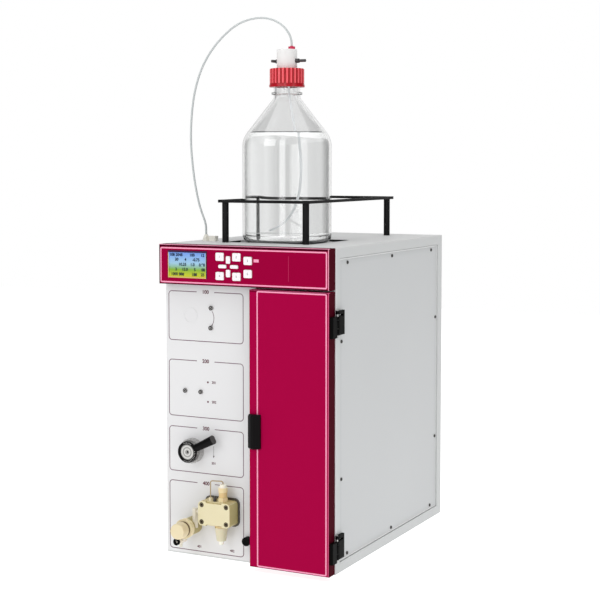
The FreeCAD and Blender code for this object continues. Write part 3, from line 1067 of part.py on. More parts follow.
def bottle_top():
    """Ribbed screw cap, and the white head with its tube nut, side stub and shut-off lever."""
    cap_base = CAP_TOP - CAP_H
    cap = rod(BOTTLE_U, BOTTLE_D, cap_base, CAP_R, CAP_H, UP)
    top_rim = [e for e in cap.Edges if abs(e.BoundBox.ZMin - (Z_BASE + CAP_TOP)) < 1e-6]
    cap = cap.makeFillet(1.6, top_rim)
    grooves = []
    groove_r = CAP_R + 0.7
    for step in range(CAP_RIBS):
        angle = 2 * math.pi * step / CAP_RIBS
        u, d = BOTTLE_U + groove_r * math.cos(angle), BOTTLE_D + groove_r * math.sin(angle)
        grooves.append(rod(u, d, cap_base + CAP_SKIRT_T + 0.9, CAP_RIB_R, CAP_H, UP))
    cap = cap.cut(group(grooves))
    cap = join(cap, rod(BOTTLE_U, BOTTLE_D, cap_base, CAP_SKIRT_R, CAP_SKIRT_T, UP))
    cap = cap.cut(rod(BOTTLE_U, BOTTLE_D, cap_base, NECK_R + 0.4, BOTTLE_TOP + 0.6 - cap_base, UP))
    parts["bottle_cap"] = cap.cut(rod(BOTTLE_U, BOTTLE_D, cap_base, HEAD_STEM_R + TURN_GAP, CAP_H, UP))

    head = rod(BOTTLE_U, BOTTLE_D, HEAD_BOTTOM, HEAD_R, HEAD_H, UP)
    top_edge = [e for e in head.Edges if abs(e.BoundBox.ZMin - (Z_BASE + NUT_BASE)) < 1e-6]
    head = head.makeFillet(1.0, top_edge)
    stem = rod(BOTTLE_U, BOTTLE_D, BOTTLE_TOP, HEAD_STEM_R, HEAD_BOTTOM - BOTTLE_TOP, UP)
    plug_r = NECK_R - BOTTLE_WALL - 0.1
    plug = rod(BOTTLE_U, BOTTLE_D, BOTTLE_TOP - HEAD_PLUG_L, plug_r, HEAD_PLUG_L, UP)
    side_h = HEAD_BOTTOM + SIDE_PORT_UP
    bore = rod(BOTTLE_U - HEAD_R, BOTTLE_D, side_h, TAP_R + TURN_GAP, TAP_L - TAP_OUT + 1, RIGHT)
    parts["bottle_head"] = join(head, stem, plug).cut(bore)

    nut = join(rod(NUT_U, BOTTLE_D, NUT_BASE, TUBE_NUT_R, TUBE_NUT_H, UP),
               rod(NUT_U, BOTTLE_D, NUT_BASE + TUBE_NUT_H, TUBE_FERRULE_R, TUBE_FERRULE_H, UP))
    outer_skin = rod(BOTTLE_U, BOTTLE_D, side_h - SIDE_PORT_UP / 2, HEAD_R, SIDE_PORT_UP, UP)
    stub_u = BOTTLE_U + HEAD_R - 3
    stub = join(rod(stub_u, BOTTLE_D, side_h, STUB_COLLAR_R, STUB_COLLAR_L, RIGHT),
                rod(stub_u, BOTTLE_D, side_h, STUB_R, STUB_L, RIGHT))
    parts["head_fittings"] = group([nut, stub.cut(outer_skin)])

    pivot_u = BOTTLE_U - HEAD_R
    tap = rod(pivot_u - TAP_OUT, BOTTLE_D, side_h, TAP_R, TAP_L, RIGHT)
    grip_d = (BOTTLE_D - GRIP_FRONT, BOTTLE_D + GRIP_BACK)
    grip = slab((pivot_u - TAP_OUT - GRIP_T, pivot_u - TAP_OUT), grip_d,
                (side_h - GRIP_W / 2, side_h + GRIP_W / 2))
    parts["shutoff_lever"] = join(tap, soften(grip, 0.9, RIGHT))


def tubes():
    """Gland on the top cover, the eluent tube to the head, and the suction line inside the bottle."""
    hex_h = CABINET_H + GLAND_BASE_H
    tip_h = hex_h + GLAND_HEX_H
    gland = join(rod(GLAND_U, GLAND_D, CABINET_H, GLAND_BASE_R, GLAND_BASE_H, UP),
                 hexagon(GLAND_U, GLAND_D, hex_h, GLAND_HEX_R, GLAND_HEX_H, UP),
                 cone(GLAND_U, GLAND_D, tip_h, GLAND_NECK_R, TUBE_R + 1, GLAND_TOP - tip_h),
                 rod(GLAND_U, GLAND_D, CABINET_H - 3 * GLAND_NECK_R, GLAND_NECK_R, 3 * GLAND_NECK_R, UP))
    clip_u = GLAND_U + CLIP_RIGHT
    clip = slab((clip_u, clip_u + CLIP_W), (GLAND_D - 5, GLAND_D + 5), (CABINET_H, CABINET_H + CLIP_H))
    parts["top_gland"] = group([gland, soften(clip, 1.5, UP)])

    # Right, back and rise above the nut: up out of it, over in one loop and down
    over = [(0, 0, 0), (0, 0, 9), (-6, -0.4, 22), (-18, -1, 34.5), (-38, -4, 43.5), (-60, -10, 43.8),
            (-84, -18, 35.5), (-106, -26, 16), (-124, -32, -7)]
    # Right, back and rise above the gland
    down = [(-16.5, 14, 252), (-25, 9, 219), (-28.8, 6, 183), (-29, 3.5, 145), (-25, 1.5, 109),
            (-19.5, 0.5, 75), (-11.5, 0.2, 42), (-1, 0, 18), (0, 0, 9), (0, 0, 0)]
    route = [at(NUT_U + u, BOTTLE_D + d, NUT_TOP + h) for u, d, h in over]
    route += [at(GLAND_U + u, GLAND_D + d, GLAND_TOP + h) for u, d, h in down]
    parts["eluent_tube"] = sweep_round(route, TUBE_R, "eluent_tube")

    # Right and back of the bottle's axis, and height above its base
    hanging = [(2.5, 0, BOTTLE_H - HEAD_PLUG_L), (2.5, 0, 238), (5, 0.8, 214), (10, 2, 184), (15, 2.3, 154),
               (17.6, 2, 125), (18, 1, 96), (15, 0, 69), (7, -1, 45), (-6, -2, 27), (-20.5, -3, 19)]
    inside = [at(BOTTLE_U + u, BOTTLE_D + d, TRAY_FLOOR + h) for u, d, h in hanging]
    parts["suction_line"] = sweep_round(inside, TUBE_R, "suction_line")


def main():
    casing()
    fascia()
    door_and_hinges()
    column_compartment()
    sample_injector()
    eluent_pump()
    purge_valve()
    rear_equipment()
    bottle_rail()
    bottle()
    bottle_top()
    tubes()
    os.makedirs("parts", exist_ok=True)
    for name, shape in parts.items():
        solids = shape.Solids
        if not shape.isValid() or not solids:
            print("CHECK", name, "valid", shape.isValid(), "solids", len(solids))
        shape.exportStep("parts/%s.step" % name)
    print(len(parts), "nodes")


main()
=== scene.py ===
import math

import bmesh
import bpy
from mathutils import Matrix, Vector


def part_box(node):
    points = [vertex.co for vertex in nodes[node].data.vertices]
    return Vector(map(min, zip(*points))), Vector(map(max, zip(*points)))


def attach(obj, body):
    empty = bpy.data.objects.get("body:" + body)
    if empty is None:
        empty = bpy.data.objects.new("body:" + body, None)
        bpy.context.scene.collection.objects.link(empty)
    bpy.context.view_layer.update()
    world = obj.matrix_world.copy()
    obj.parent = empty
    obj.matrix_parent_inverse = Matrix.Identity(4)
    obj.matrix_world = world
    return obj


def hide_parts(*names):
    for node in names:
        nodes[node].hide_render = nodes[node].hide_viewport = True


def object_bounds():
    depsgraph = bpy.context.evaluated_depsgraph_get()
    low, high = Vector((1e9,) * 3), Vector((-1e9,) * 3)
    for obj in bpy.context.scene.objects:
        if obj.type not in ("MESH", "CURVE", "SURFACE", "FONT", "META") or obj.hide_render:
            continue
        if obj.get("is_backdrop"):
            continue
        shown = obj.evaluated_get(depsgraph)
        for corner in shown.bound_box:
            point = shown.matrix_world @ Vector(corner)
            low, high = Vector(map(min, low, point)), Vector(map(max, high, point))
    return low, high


print("cabinet: load the packed frame")
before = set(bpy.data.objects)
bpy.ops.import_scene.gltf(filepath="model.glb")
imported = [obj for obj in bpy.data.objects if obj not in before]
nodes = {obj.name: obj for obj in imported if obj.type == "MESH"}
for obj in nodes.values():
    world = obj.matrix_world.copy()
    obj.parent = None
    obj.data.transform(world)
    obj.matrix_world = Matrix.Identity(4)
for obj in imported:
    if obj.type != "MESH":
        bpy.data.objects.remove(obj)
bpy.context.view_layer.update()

cabinet = {"left": -0.14225, "front": -0.182, "base": 0.006,  # its lower left front corner, in metres
           "width": 280.0, "height": 465.0, "depth": 410.0}  # in millimetres, as all that is placed with at()
bottle = {"right": 135.5, "back": 131.0}


def at(right, back, up):
    return Vector((cabinet["left"] + right / 1000, cabinet["front"] + back / 1000, cabinet["base"] + up / 1000))


def paint(red, green, blue):  # a colour as it is seen on a screen, 0 to 255
    def straight(level):
        level /= 255
        return level / 12.92 if level <= 0.04045 else ((level + 0.055) / 1.055) ** 2.4
    return (straight(red), straight(green), straight(blue), 1.0)


def toned(colour, share):
    return tuple(level * share for level in colour[:3]) + (1.0,)


class Wire:
    def __init__(self, sheet, socket):
        self.sheet, self.socket = sheet, socket

    def sum(self, operation, other=None, swapped=False):
        values = [self] if other is None else [self, other]
        if swapped:
            values.reverse()
        return self.sheet.node("ShaderNodeMath", dict(enumerate(values)), operation=operation)

    def __add__(self, other):
        return self.sum("ADD", other)

    def __sub__(self, other):
        return self.sum("SUBTRACT", other)

    def __rsub__(self, other):
        return self.sum("SUBTRACT", other, True)

    def __mul__(self, other):
        return self.sum("MULTIPLY", other)

    def __truediv__(self, other):
        return self.sum("DIVIDE", other)

    def __rtruediv__(self, other):
        return self.sum("DIVIDE", other, True)

    def __pow__(self, other):
        return self.sum("POWER", other)

    def __mod__(self, other):
        return self.sum("FLOORED_MODULO", other)

    def __gt__(self, other):
        return self.sum("GREATER_THAN", other)

    def __lt__(self, other):
        return self.sum("LESS_THAN", other)

    def __abs__(self):
        return self.sum("ABSOLUTE")

    def __neg__(self):
        return self.sum("MULTIPLY", -1.0)

    def least(self, other):
        return self.sum("MINIMUM", other)

    def most(self, other):
        return self.sum("MAXIMUM", other)

    def sine(self):
        return self.sum("SINE")

    def angle(self, other):
        return self.sum("ARCTAN2", other)

    def length(self, other):  # of the vector that has these two sides
        return (self * self + other * other) ** 0.5

    __radd__ = __add__
    __rmul__ = __mul__


class Sheet:
    def __init__(self, tree):
        self.tree = tree

    def node(self, kind, values=None, out=0, **settings):
        made = self.tree.nodes.new(kind)
        stops = settings.pop("stops", None)
        for name, value in settings.items():
            setattr(made, name, value)
        if stops:
            ramp = made.color_ramp
            while len(ramp.elements) < len(stops):
                ramp.elements.new(0.5)
            for element, (place, colour) in zip(ramp.elements, stops):
                element.position, element.color = place, colour
        for name, value in (values or {}).items():
            if isinstance(value, Wire):
                self.tree.links.new(value.socket, made.inputs[name])
            else:
                made.inputs[name].default_value = value
        return Wire(self, made.outputs[out])

    def spot(self):
        return self.node("ShaderNodeTexCoord", out="Object")

    def axes(self, vector):
        split = self.node("ShaderNodeSeparateXYZ", {0: vector}).socket.node
        return [Wire(self, split.outputs[axis]) for axis in "XYZ"]

    def places(self, spot):  # millimetres right, back and up from the cabinet's corner
        starts = cabinet["left"], cabinet["front"], cabinet["base"]
        return [(axis - start) * 1000.0 for axis, start in zip(self.axes(spot), starts)]

    def facing(self):  # how far the surface faces right, back and up
        return self.axes(self.node("ShaderNodeTexCoord", out="Normal"))

    def noise(self, spot, scale, detail=3.0, rough=0.55, stretch=None):
        if stretch:
            spot = self.node("ShaderNodeMapping", {"Vector": spot, "Scale": stretch})
        sizes = {"Vector": spot, "Scale": scale, "Detail": detail, "Roughness": rough}
        return self.node("ShaderNodeTexNoise", sizes, out="Fac")

    def blend(self, share, first, second):
        return self.node("ShaderNodeMix", {0: share, 6: first, 7: second}, out=2, data_type="RGBA")

    def bump(self, height, strength, distance):
        return self.node("ShaderNodeBump", {"Height": height, "Strength": strength, "Distance": distance})


def newFinish(name):
    material = bpy.data.materials.new(name)
    material.use_nodes = True
    material.node_tree.nodes.clear()
    sheet = Sheet(material.node_tree)
    sheet.material = material
    return sheet


def close(sheet, colour, roughness=0.5, metallic=0.0, normal=None, **constants):
    values = {"Base Color": colour, "Roughness": roughness, "Metallic": metallic}
    if normal:
        values["Normal"] = normal
    values.update({name.replace("_", " "): value for name, value in constants.items()})
    shader = sheet.node("ShaderNodeBsdfPrincipled", values)
    out = sheet.tree.nodes.new("ShaderNodeOutputMaterial")
    sheet.tree.links.new(shader.socket, out.inputs["Surface"])
    return sheet.material


def powderCoat(name, colour, rough=0.46, peel=0.10, dirt=0.03, gloss=0.4):
    sheet = newFinish(name)
    spot = sheet.spot()
    cloud = sheet.noise(spot, 5.0, 2.0)
    shade = sheet.blend(cloud * dirt * 2, colour, toned(colour, 1 - 3 * dirt))
    fine = sheet.noise(spot, 900.0, 2.0)
    coarse = sheet.noise(spot, 210.0, 1.0)
    return close(sheet, shade, cloud * 0.08 + (rough - 0.04) + fine * 0.04,
                 normal=sheet.bump(fine * 0.5 + coarse * 0.5, peel, 0.0004), Specular_IOR_Level=gloss)


def moulded(name, colour, rough=0.42, grain=0.12, size=1400.0, gloss=0.4):
    sheet = newFinish(name)
    spot = sheet.spot()
    fine = sheet.noise(spot, size, 3.0)
    cloud = sheet.noise(spot, 24.0, 3.0)
    lighter = tuple(min(1.0, level * 1.25 + 0.002) for level in colour[:3]) + (1.0,)
    return close(sheet, sheet.blend(cloud * 0.5, colour, lighter), cloud * 0.14 + (rough - 0.07),
                 normal=sheet.bump(fine, grain, 0.0003), Specular_IOR_Level=gloss)


def brushed(name, colour, along="Z", rough=0.3):
    sheet = newFinish(name)
    spot = sheet.spot()
    stretch = {"X": (1, 60, 60), "Y": (60, 1, 60), "Z": (60, 60, 1)}[along]
    lines = sheet.noise(spot, 60.0, 4.0, 0.6, stretch)
    cloud = sheet.noise(spot, 30.0, 2.0)
    return close(sheet, sheet.blend(lines, colour, toned(colour, 0.72)),
                 lines * 0.18 + (rough - 0.08) + cloud * 0.08, 1.0, normal=sheet.bump(lines, 0.12, 0.0002))


def turned(name, colour, worn, rough=0.38):  # machined plastic with faint tool marks
    sheet = newFinish(name)
    spot = sheet.spot()
    fine = sheet.noise(spot, 700.0, 3.0)
    cloud = sheet.noise(spot, 38.0, 3.0)
    return close(sheet, sheet.blend(cloud * 0.6, colour, worn), cloud * 0.12 + (rough - 0.04),
                 normal=sheet.bump(fine, 0.08, 0.0002), Specular_IOR_Level=0.4)


def dress(material, *names):
    for name in names:
        slots = nodes[name].data.materials
        slots.clear()
        slots.append(material)


print("finishes: sheet metal, paints and plastics")
dress(powderCoat("side powder coat", paint(206, 208, 208), 0.5, 0.16), "base_pan", "rear_panel")

cover = {"shadow": 10.0, "rim": 1.5}  # a painted soft shadow inside its edge, and a painted highlight along its folded rim
coverLow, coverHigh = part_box("side_covers")
coverSheet = newFinish("side cover powder coat")
spot = coverSheet.spot()
_, back, up = coverSheet.axes(spot)
cloud, fine = coverSheet.noise(spot, 4.0, 2.0), coverSheet.noise(spot, 900.0, 2.0)
inward = (back - coverLow[1]).least(coverHigh[1] - back)
inward = inward.least(up - coverLow[2]).least(coverHigh[2] - up) * 1000.0
shade = coverSheet.blend(cloud * 0.5, paint(208, 210, 211), paint(200, 202, 203))
# painted shadow fading in from the edge, then a painted highlight on the rim
shade = coverSheet.blend((1.0 - inward / cover["shadow"]).most(0.0) * 0.5, shade, paint(188, 190, 190))
shade = coverSheet.blend(inward < cover["rim"], shade, paint(238, 239, 239))
dress(close(coverSheet, shade, cloud * 0.08 + fine * 0.04 + 0.44, normal=coverSheet.bump(fine, 0.16, 0.0004)),
      "side_covers")

bendHighlights = {"front": 1.4, "rear": cabinet["depth"] - 1.0, "low": 1.2}  # painted highlights where the side frames' bends catch the light
frameSheet = newFinish("side frame powder coat")
spot = frameSheet.spot()
_, depth, height = frameSheet.places(spot)
cloud, fine = frameSheet.noise(spot, 5.0, 2.0), frameSheet.noise(spot, 900.0, 2.0)
shade = frameSheet.blend(cloud * 0.06, paint(208, 210, 210), paint(196, 198, 198))
isBendHighlight = (depth < bendHighlights["front"]).most(depth > bendHighlights["rear"]).most(height < bendHighlights["low"])
# painted highlight along the front, rear and lower bends
shade = frameSheet.blend(isBendHighlight, shade, paint(240, 238, 238))
dress(close(frameSheet, shade, cloud * 0.08 + fine * 0.04 + 0.44, normal=frameSheet.bump(fine, 0.16, 0.0004)),
      "side_frames")

dress(powderCoat("top powder coat", paint(212, 213, 213), 0.5, 0.16), "top_cover")
dress(powderCoat("panel white enamel", paint(229, 229, 230), 0.4, 0.06, 0.012, 0.2), "front_panel")

# edge is painted shade on the rounded edges, glint a painted highlight along the corner
fascia = {"face": (154, 0, 56), "edge": (70, 1, 26), "glint": (240, 160, 186),
          "left": 0.4, "right": 279.1, "low": 406.3, "top": cabinet["height"]}
doorPanel = {"face": (166, 3, 64), "edge": (120, 2, 44), "glint": (214, 96, 138),
             "left": None, "right": 279.1, "low": 0.8, "top": 403.5}
# the flank colour is painted shade on the side faces, the ledge colour painted light on the faces that look up;
# top, low and left say how far the painted edge shade reaches, the glint keys where the painted highlight lies
roundedEdge = {"shadedFlank": (72, 0, 20), "ledge": (190, 8, 72), "top": 3.6, "low": 1.6, "left": 2.3,
               "square": 0.8, "glintTop": 0.7, "glintRight": (1.5, 0.5), "glintBack": (-17.0, -17.5)}


def burgundy(name, panel):  # painted shade on the rounded edges and the side faces, painted light on the faces that look up, and a painted highlight along the corner
    sheet = newFinish(name)
    spot = sheet.spot()
    across, depth, height = sheet.places(spot)
    toRight, _, toUp = sheet.facing()
    cloud, fine = sheet.noise(spot, 5.0, 2.0), sheet.noise(spot, 900.0, 2.0)
    face = paint(*panel["face"])
    shade = sheet.blend(cloud * 0.3, face, toned(face, 0.94))
    isEdge = (height > panel["top"] - roundedEdge["top"]).most(height < panel["low"] + roundedEdge["low"])
    if panel["left"]:
        isEdge = isEdge.most(across < panel["left"] + roundedEdge["left"])
    # painted shade on the rounded edges
    shade = sheet.blend(isEdge, shade, paint(*panel["edge"]))
    # painted shade on the side faces
    shade = sheet.blend(abs(toRight) > roundedEdge["square"], shade, paint(*roundedEdge["shadedFlank"]))
    # painted light on the faces that look up into the gap
    isLitLedge = (toUp > roundedEdge["square"]).least(height < cabinet["height"] - 1.0)
    shade = sheet.blend(isLitLedge, shade, paint(*roundedEdge["ledge"]))
    # painted highlight along the right corner and the top edge
    outer, inner = (panel["right"] - inset for inset in roundedEdge["glintRight"])
    shine = (across > outer).least(across < inner).least(depth < roundedEdge["glintBack"][1])
    isTop = height > panel["top"] - roundedEdge["glintTop"]
    shine = shine.most(isTop.least(depth < roundedEdge["glintBack"][0]))
    return close(sheet, sheet.blend(shine, shade, paint(*panel["glint"])), cloud * 0.08 + fine * 0.04 + 0.5,
                 normal=sheet.bump(fine, 0.05, 0.0004), Specular_IOR_Level=0.02)


dress(burgundy("fascia burgundy", fascia), "fascia_housing")
dress(burgundy("door burgundy", doorPanel), "door")
dress(powderCoat("black powder coat", paint(20, 20, 21), 0.42, 0.14, gloss=0.15), "bottle_rail")
dress(moulded("hinge black", paint(3, 3, 3), 0.5, 0.1, gloss=0.05), "hinge_cabinet_leaves", "hinge_door_leaves")

padRadius = 74.0  # the pale pad that the bottle stands on
traySheet = newFinish("tray with a pale round pad")
spot = traySheet.spot()
across, depth, _ = traySheet.places(spot)
isPad = (across - bottle["right"]).length(depth - bottle["back"]) < padRadius
normal = traySheet.bump(traySheet.noise(spot, 900.0), 0.12, 0.0003)
dress(close(traySheet, traySheet.blend(isPad, paint(16, 16, 17), paint(198, 199, 199)), 0.5, normal=normal,
            Specular_IOR_Level=0.2), "bottle_tray")

blackPlastic = moulded("moulded black", paint(9, 7, 8), 0.42, gloss=0.08)
dress(blackPlastic, "door_handle", "fan_housing", "fan_rotor", "column_clips", "power_rocker")
dress(moulded("lever grey", paint(70, 68, 70), 0.42), "shutoff_lever")
dress(brushed("blackened steel", paint(92, 90, 88), "Y", 0.42), "side_cover_screws")
dress(brushed("socket screw steel", paint(128, 116, 94), "Y", 0.4), "pump_head_screws")
dress(brushed("turned steel", paint(196, 195, 193), "Z", 0.26), "hinge_pins", "fan_guard")
dress(powderCoat("liner paint", paint(222, 222, 222), 0.5), "compartment_liner")
dress(powderCoat("drive dark paint", paint(80, 75, 66), 0.45, 0.12), "pump_drive")
dress(brushed("supply aluminium", paint(190, 192, 194), "X", 0.36), "power_supply")
dress(moulded("foot rubber", paint(28, 28, 28), 0.72, 0.3, 900.0), "rubber_feet")
dress(moulded("detector grey", paint(146, 149, 152), 0.5), "suppressor", "conductivity_detector")
dress(moulded("magnet ferrite", paint(54, 52, 52), 0.6, 0.25, 500.0), "door_magnet")
keyNames = ("1", "2", "3", "4", "5", "6", "up", "down", "left", "right")
dress(moulded("key white", paint(246, 240, 244), 0.36, 0.05), *["key_" + name for name in keyNames])
dress(turned("white fluoroplastic", paint(242, 242, 241), paint(232, 232, 231), 0.44), "bottle_head")
dress(turned("gland white", paint(240, 238, 230), paint(228, 225, 214)), "top_gland")

print("finishes: pump, its valves and lines")
headSheet = newFinish("pump head plastic")
spot = headSheet.spot()
toRight, _, toUp = headSheet.facing()
cloud = headSheet.noise(spot, 38.0)
shade = headSheet.blend(cloud * 0.6, paint(231, 222, 185), paint(219, 207, 164))
# painted shade: the top faces darker
shade = headSheet.blend(abs(toUp) > 0.75, shade, paint(206, 188, 132))
# painted shade: the side faces darker
shadedFlank = headSheet.blend(cloud, paint(206, 194, 132), paint(180, 166, 104))
dress(close(headSheet, headSheet.blend(abs(toRight) > 0.75, shade, shadedFlank), cloud * 0.12 + 0.34,
            normal=headSheet.bump(headSheet.noise(spot, 700.0), 0.08, 0.0002)), "pump_head")

knobGrooveShadow = -34.9  # behind this depth lies the groove between the purge knob and its flange, painted dark brown as its shadow
knobSheet = newFinish("purge knob plastic")
spot = knobSheet.spot()
_, depth, _ = knobSheet.places(spot)
cloud = knobSheet.noise(spot, 38.0)
shade = knobSheet.blend(cloud * 0.6, paint(236, 222, 186), paint(224, 208, 164))
dress(close(knobSheet, knobSheet.blend(depth > knobGrooveShadow, shade, paint(112, 88, 56)), cloud * 0.12 + 0.34,
            normal=knobSheet.bump(knobSheet.noise(spot, 700.0), 0.08, 0.0002)), "purge_knob")

valves = {"foot": 32.2, "nut": 52.2, "collar": (96.2, 104.2), "cap": 111.0}  # heights where the plastic changes
valveSheet = newFinish("pump valve plastics")
spot = valveSheet.spot()
_, _, height = valveSheet.places(spot)
isCollar = (height > valves["collar"][0]).least(height < valves["collar"][1])
isNut = (height > valves["foot"]).least(height < valves["nut"])
isWhite = (height > valves["cap"]).most(height < valves["foot"])
shade = valveSheet.blend(isCollar, paint(232, 212, 164), paint(218, 192, 134))
shade = valveSheet.blend(isNut, shade, paint(214, 206, 176))
shade = valveSheet.blend(isWhite, shade, paint(248, 244, 228))
dress(close(valveSheet, shade, 0.34, normal=valveSheet.bump(valveSheet.noise(spot, 500.0), 0.06, 0.0002),
            Subsurface_Weight=0.1, Subsurface_Scale=0.002), "check_valves")

purgeValve = {"flange": -23.6, "drainTop": 31.2, "drainRight": 45.0}
purgeSheet = newFinish("purge valve plastics")
spot = purgeSheet.spot()
across, depth, height = purgeSheet.places(spot)
isDrain = (height < purgeValve["drainTop"]).least(across < purgeValve["drainRight"])
shade = purgeSheet.blend(depth < purgeValve["flange"], paint(172, 158, 104), paint(238, 224, 184))
shade = purgeSheet.blend(isDrain, shade, paint(232, 226, 212))
dress(close(purgeSheet, shade, 0.38, normal=purgeSheet.bump(purgeSheet.noise(spot, 500.0), 0.06, 0.0002),
            Subsurface_Weight=0.05, Subsurface_Scale=0.002), "purge_valve_body")

capillary = {"plugLeft": 92.0, "plugTop": 99.0, "nutLow": 95.4, "unionRight": 75.0}
lineSheet = newFinish("capillary and its nuts")
spot = lineSheet.spot()
across, _, height = lineSheet.places(spot)
isPlug = (across > capillary["plugLeft"]).least(height < capillary["plugTop"])
shade = lineSheet.blend(height > capillary["nutLow"], paint(232, 220, 184), paint(168, 146, 108))
shade = lineSheet.blend(across < capillary["unionRight"], shade, paint(226, 220, 204))
dress(close(lineSheet, lineSheet.blend(isPlug, shade, paint(52, 46, 42)), 0.32,
            normal=lineSheet.bump(lineSheet.noise(spot, 500.0), 0.05, 0.0002)), "pump_capillaries")

print("finishes: ports, injector and what is behind the walls")
wasteTop = 60.0  # the black waste nozzle is the only port below this height
portSheet = newFinish("panel ports")
spot = portSheet.spot()
_, _, height = portSheet.places(spot)
isBlack = height < wasteTop
marks = portSheet.noise(spot, 260.0)
shade = portSheet.blend(marks, paint(196, 194, 192), paint(160, 158, 157))
shade = portSheet.blend(isBlack, shade, paint(3, 3, 3))
dress(close(portSheet, shade, 0.5, (1.0 - isBlack) * 0.8, normal=portSheet.bump(marks, 0.05, 0.0002),
            Specular_IOR_Level=0.06), "panel_ports")

injector = {"right": 46.0, "up": 158.0, "skirt": 15.7, "port": 1.4, "dial": 16.1, "ringBack": -15.6,
            "tip": 47.6, "dialFace": -19.04, "ticks": (12.7, 14.7), "tickLine": 0.45}
bodySheet = newFinish("injector body metal")
spot = bodySheet.spot()
across, _, height = bodySheet.places(spot)
radius = (across - injector["right"]).length(height - injector["up"])
rings = (radius * 1.5 + 0.9).sine()
isSkirt = radius > injector["skirt"]
shade = bodySheet.blend(rings * 0.5 + 0.5, paint(150, 149, 147), paint(214, 213, 210))
shade = bodySheet.blend(isSkirt, shade, paint(192, 191, 190))
# painted shade: the needle port's bore is dark
shade = bodySheet.blend(radius < injector["port"], shade, paint(44, 42, 41))
dress(close(bodySheet, shade, 0.34 + isSkirt * 0.12, 0.7 - isSkirt * 0.35,
            normal=bodySheet.bump(rings * (1.0 - isSkirt), 0.1, 0.0003)), "injector_body")

handleSheet = newFinish("injector dial and lever")
spot = handleSheet.spot()
across, depth, height = handleSheet.places(spot)
radius = (across - injector["right"]).length(height - injector["up"])
isRear = (depth > injector["ringBack"]).least(radius < injector["dial"])
shade = handleSheet.blend(isRear, paint(6, 5, 6), paint(206, 205, 204))
shade = handleSheet.blend(radius > injector["tip"], shade, paint(74, 72, 72))
dress(close(handleSheet, shade, 0.44 - isRear * 0.06, isRear * 0.6,
            normal=handleSheet.bump(handleSheet.noise(spot, 1200.0), 0.1, 0.0002), Specular_IOR_Level=0.1),
      "injector_handle")

column = {"low": 94.0, "high": 336.0}  # its steel tube, with an end fitting below and above
columnSheet = newFinish("column steel and end fittings")
spot = columnSheet.spot()
_, _, height = columnSheet.places(spot)
isEnd = (height < column["low"]).most(height > column["high"])
streak = columnSheet.noise(spot, 60.0, 4.0, 0.6, (60, 60, 1))
shade = columnSheet.blend(streak, paint(190, 189, 187), paint(150, 149, 147))
dress(close(columnSheet, columnSheet.blend(isEnd, shade, paint(214, 197, 150)), 0.34, (1.0 - isEnd) * 0.95,
            normal=columnSheet.bump(streak, 0.1, 0.0002)), "separation_column")

pins = {"front": 394.2, "back": 406.5, "left": 61.0, "right": 83.0}
inletSheet = newFinish("mains inlet with brass pins")
spot = inletSheet.spot()
across, depth, _ = inletSheet.places(spot)
isPin = (depth < pins["back"]).least(depth > pins["front"])
isPin = isPin.least(across > pins["left"]).least(across < pins["right"])
dress(close(inletSheet, inletSheet.blend(isPin, paint(22, 21, 22), paint(186, 158, 92)), 0.4, isPin * 0.9,
            normal=inletSheet.bump(inletSheet.noise(spot, 1200.0), 0.1, 0.0002)), "power_inlet")

shellFront = 396.6  # behind this depth are the sockets' metal shells
boardSheet = newFinish("circuit board green")
spot = boardSheet.spot()
_, depth, _ = boardSheet.places(spot)
cells = boardSheet.node("ShaderNodeTexBrick", {
    "Vector": spot, "Color1": paint(20, 86, 44), "Color2": paint(16, 74, 38), "Mortar": paint(70, 128, 72),
    "Scale": 60.0, "Mortar Size": 0.012})
isShell = depth > shellFront
dress(close(boardSheet, boardSheet.blend(isShell, cells, paint(196, 196, 194)), 0.4, isShell * 0.9),
      "main_board", "key_board")

print("finishes: cap, glass, eluent and tubes")
cap = {"ribs": 26, "skirt": 5.5, "plain": 24.0}  # the skirt and the middle of the top have no ribs
capSheet = newFinish("cap red")
spot = capSheet.spot()
across, depth, _ = capSheet.places(spot)
across, depth = across - bottle["right"], depth - bottle["back"]
groove = (depth.angle(across) * cap["ribs"] + math.pi / 2).sine()  # 1 in a groove, -1 on a rib
isSkirt = (capSheet.axes(spot)[2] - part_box("bottle_cap")[0][2]) * 1000.0 < cap["skirt"]
isPlain = (across.length(depth) < cap["plain"]).most(isSkirt)
# painted shade darkens the grooves between the ribs
shade = capSheet.blend((groove * 1.3 + 0.1).least(1.0).most(0.0), paint(234, 48, 64), paint(150, 6, 16))
# painted highlight along each rib's crest
shade = capSheet.blend((-groove - 0.5).most(0.0) * 1.7, shade, paint(246, 122, 130))
shade = capSheet.blend(isPlain, shade, capSheet.blend(isSkirt, paint(204, 20, 40), paint(176, 2, 26)))
dress(close(capSheet, shade, 0.26, normal=capSheet.bump(capSheet.noise(spot, 600.0), 0.05, 0.0002)),
      "bottle_cap")

nutLow = 750.0  # the red nut is above this height, the dark side stub below it
fittingSheet = newFinish("head nut and stub")
spot = fittingSheet.spot()
_, _, height = fittingSheet.places(spot)
dress(close(fittingSheet, fittingSheet.blend(height > nutLow, paint(58, 56, 58), paint(206, 44, 84)), 0.36,
            normal=fittingSheet.bump(fittingSheet.noise(spot, 600.0), 0.06, 0.0002)), "head_fittings")

glassSheet = newFinish("borosilicate glass")
ripple = glassSheet.bump(glassSheet.noise(glassSheet.spot(), 14.0, 1.0), 0.05, 0.002)
dress(close(glassSheet, (0.985, 0.988, 0.987, 1.0), 0.0, normal=ripple, Transmission_Weight=1.0, IOR=1.47),
      "glass_bottle")
waterSheet = newFinish("eluent water")
dress(close(waterSheet, (0.982, 0.986, 0.985, 1.0), 0.0, Transmission_Weight=1.0, IOR=1.333), "eluent")

tubeSheet = newFinish("clear fluoropolymer tube")
shade = tubeSheet.blend(tubeSheet.noise(tubeSheet.spot(), 60.0), paint(206, 210, 210), paint(186, 192, 193))
tubeFinish = close(tubeSheet, shade, 0.24)
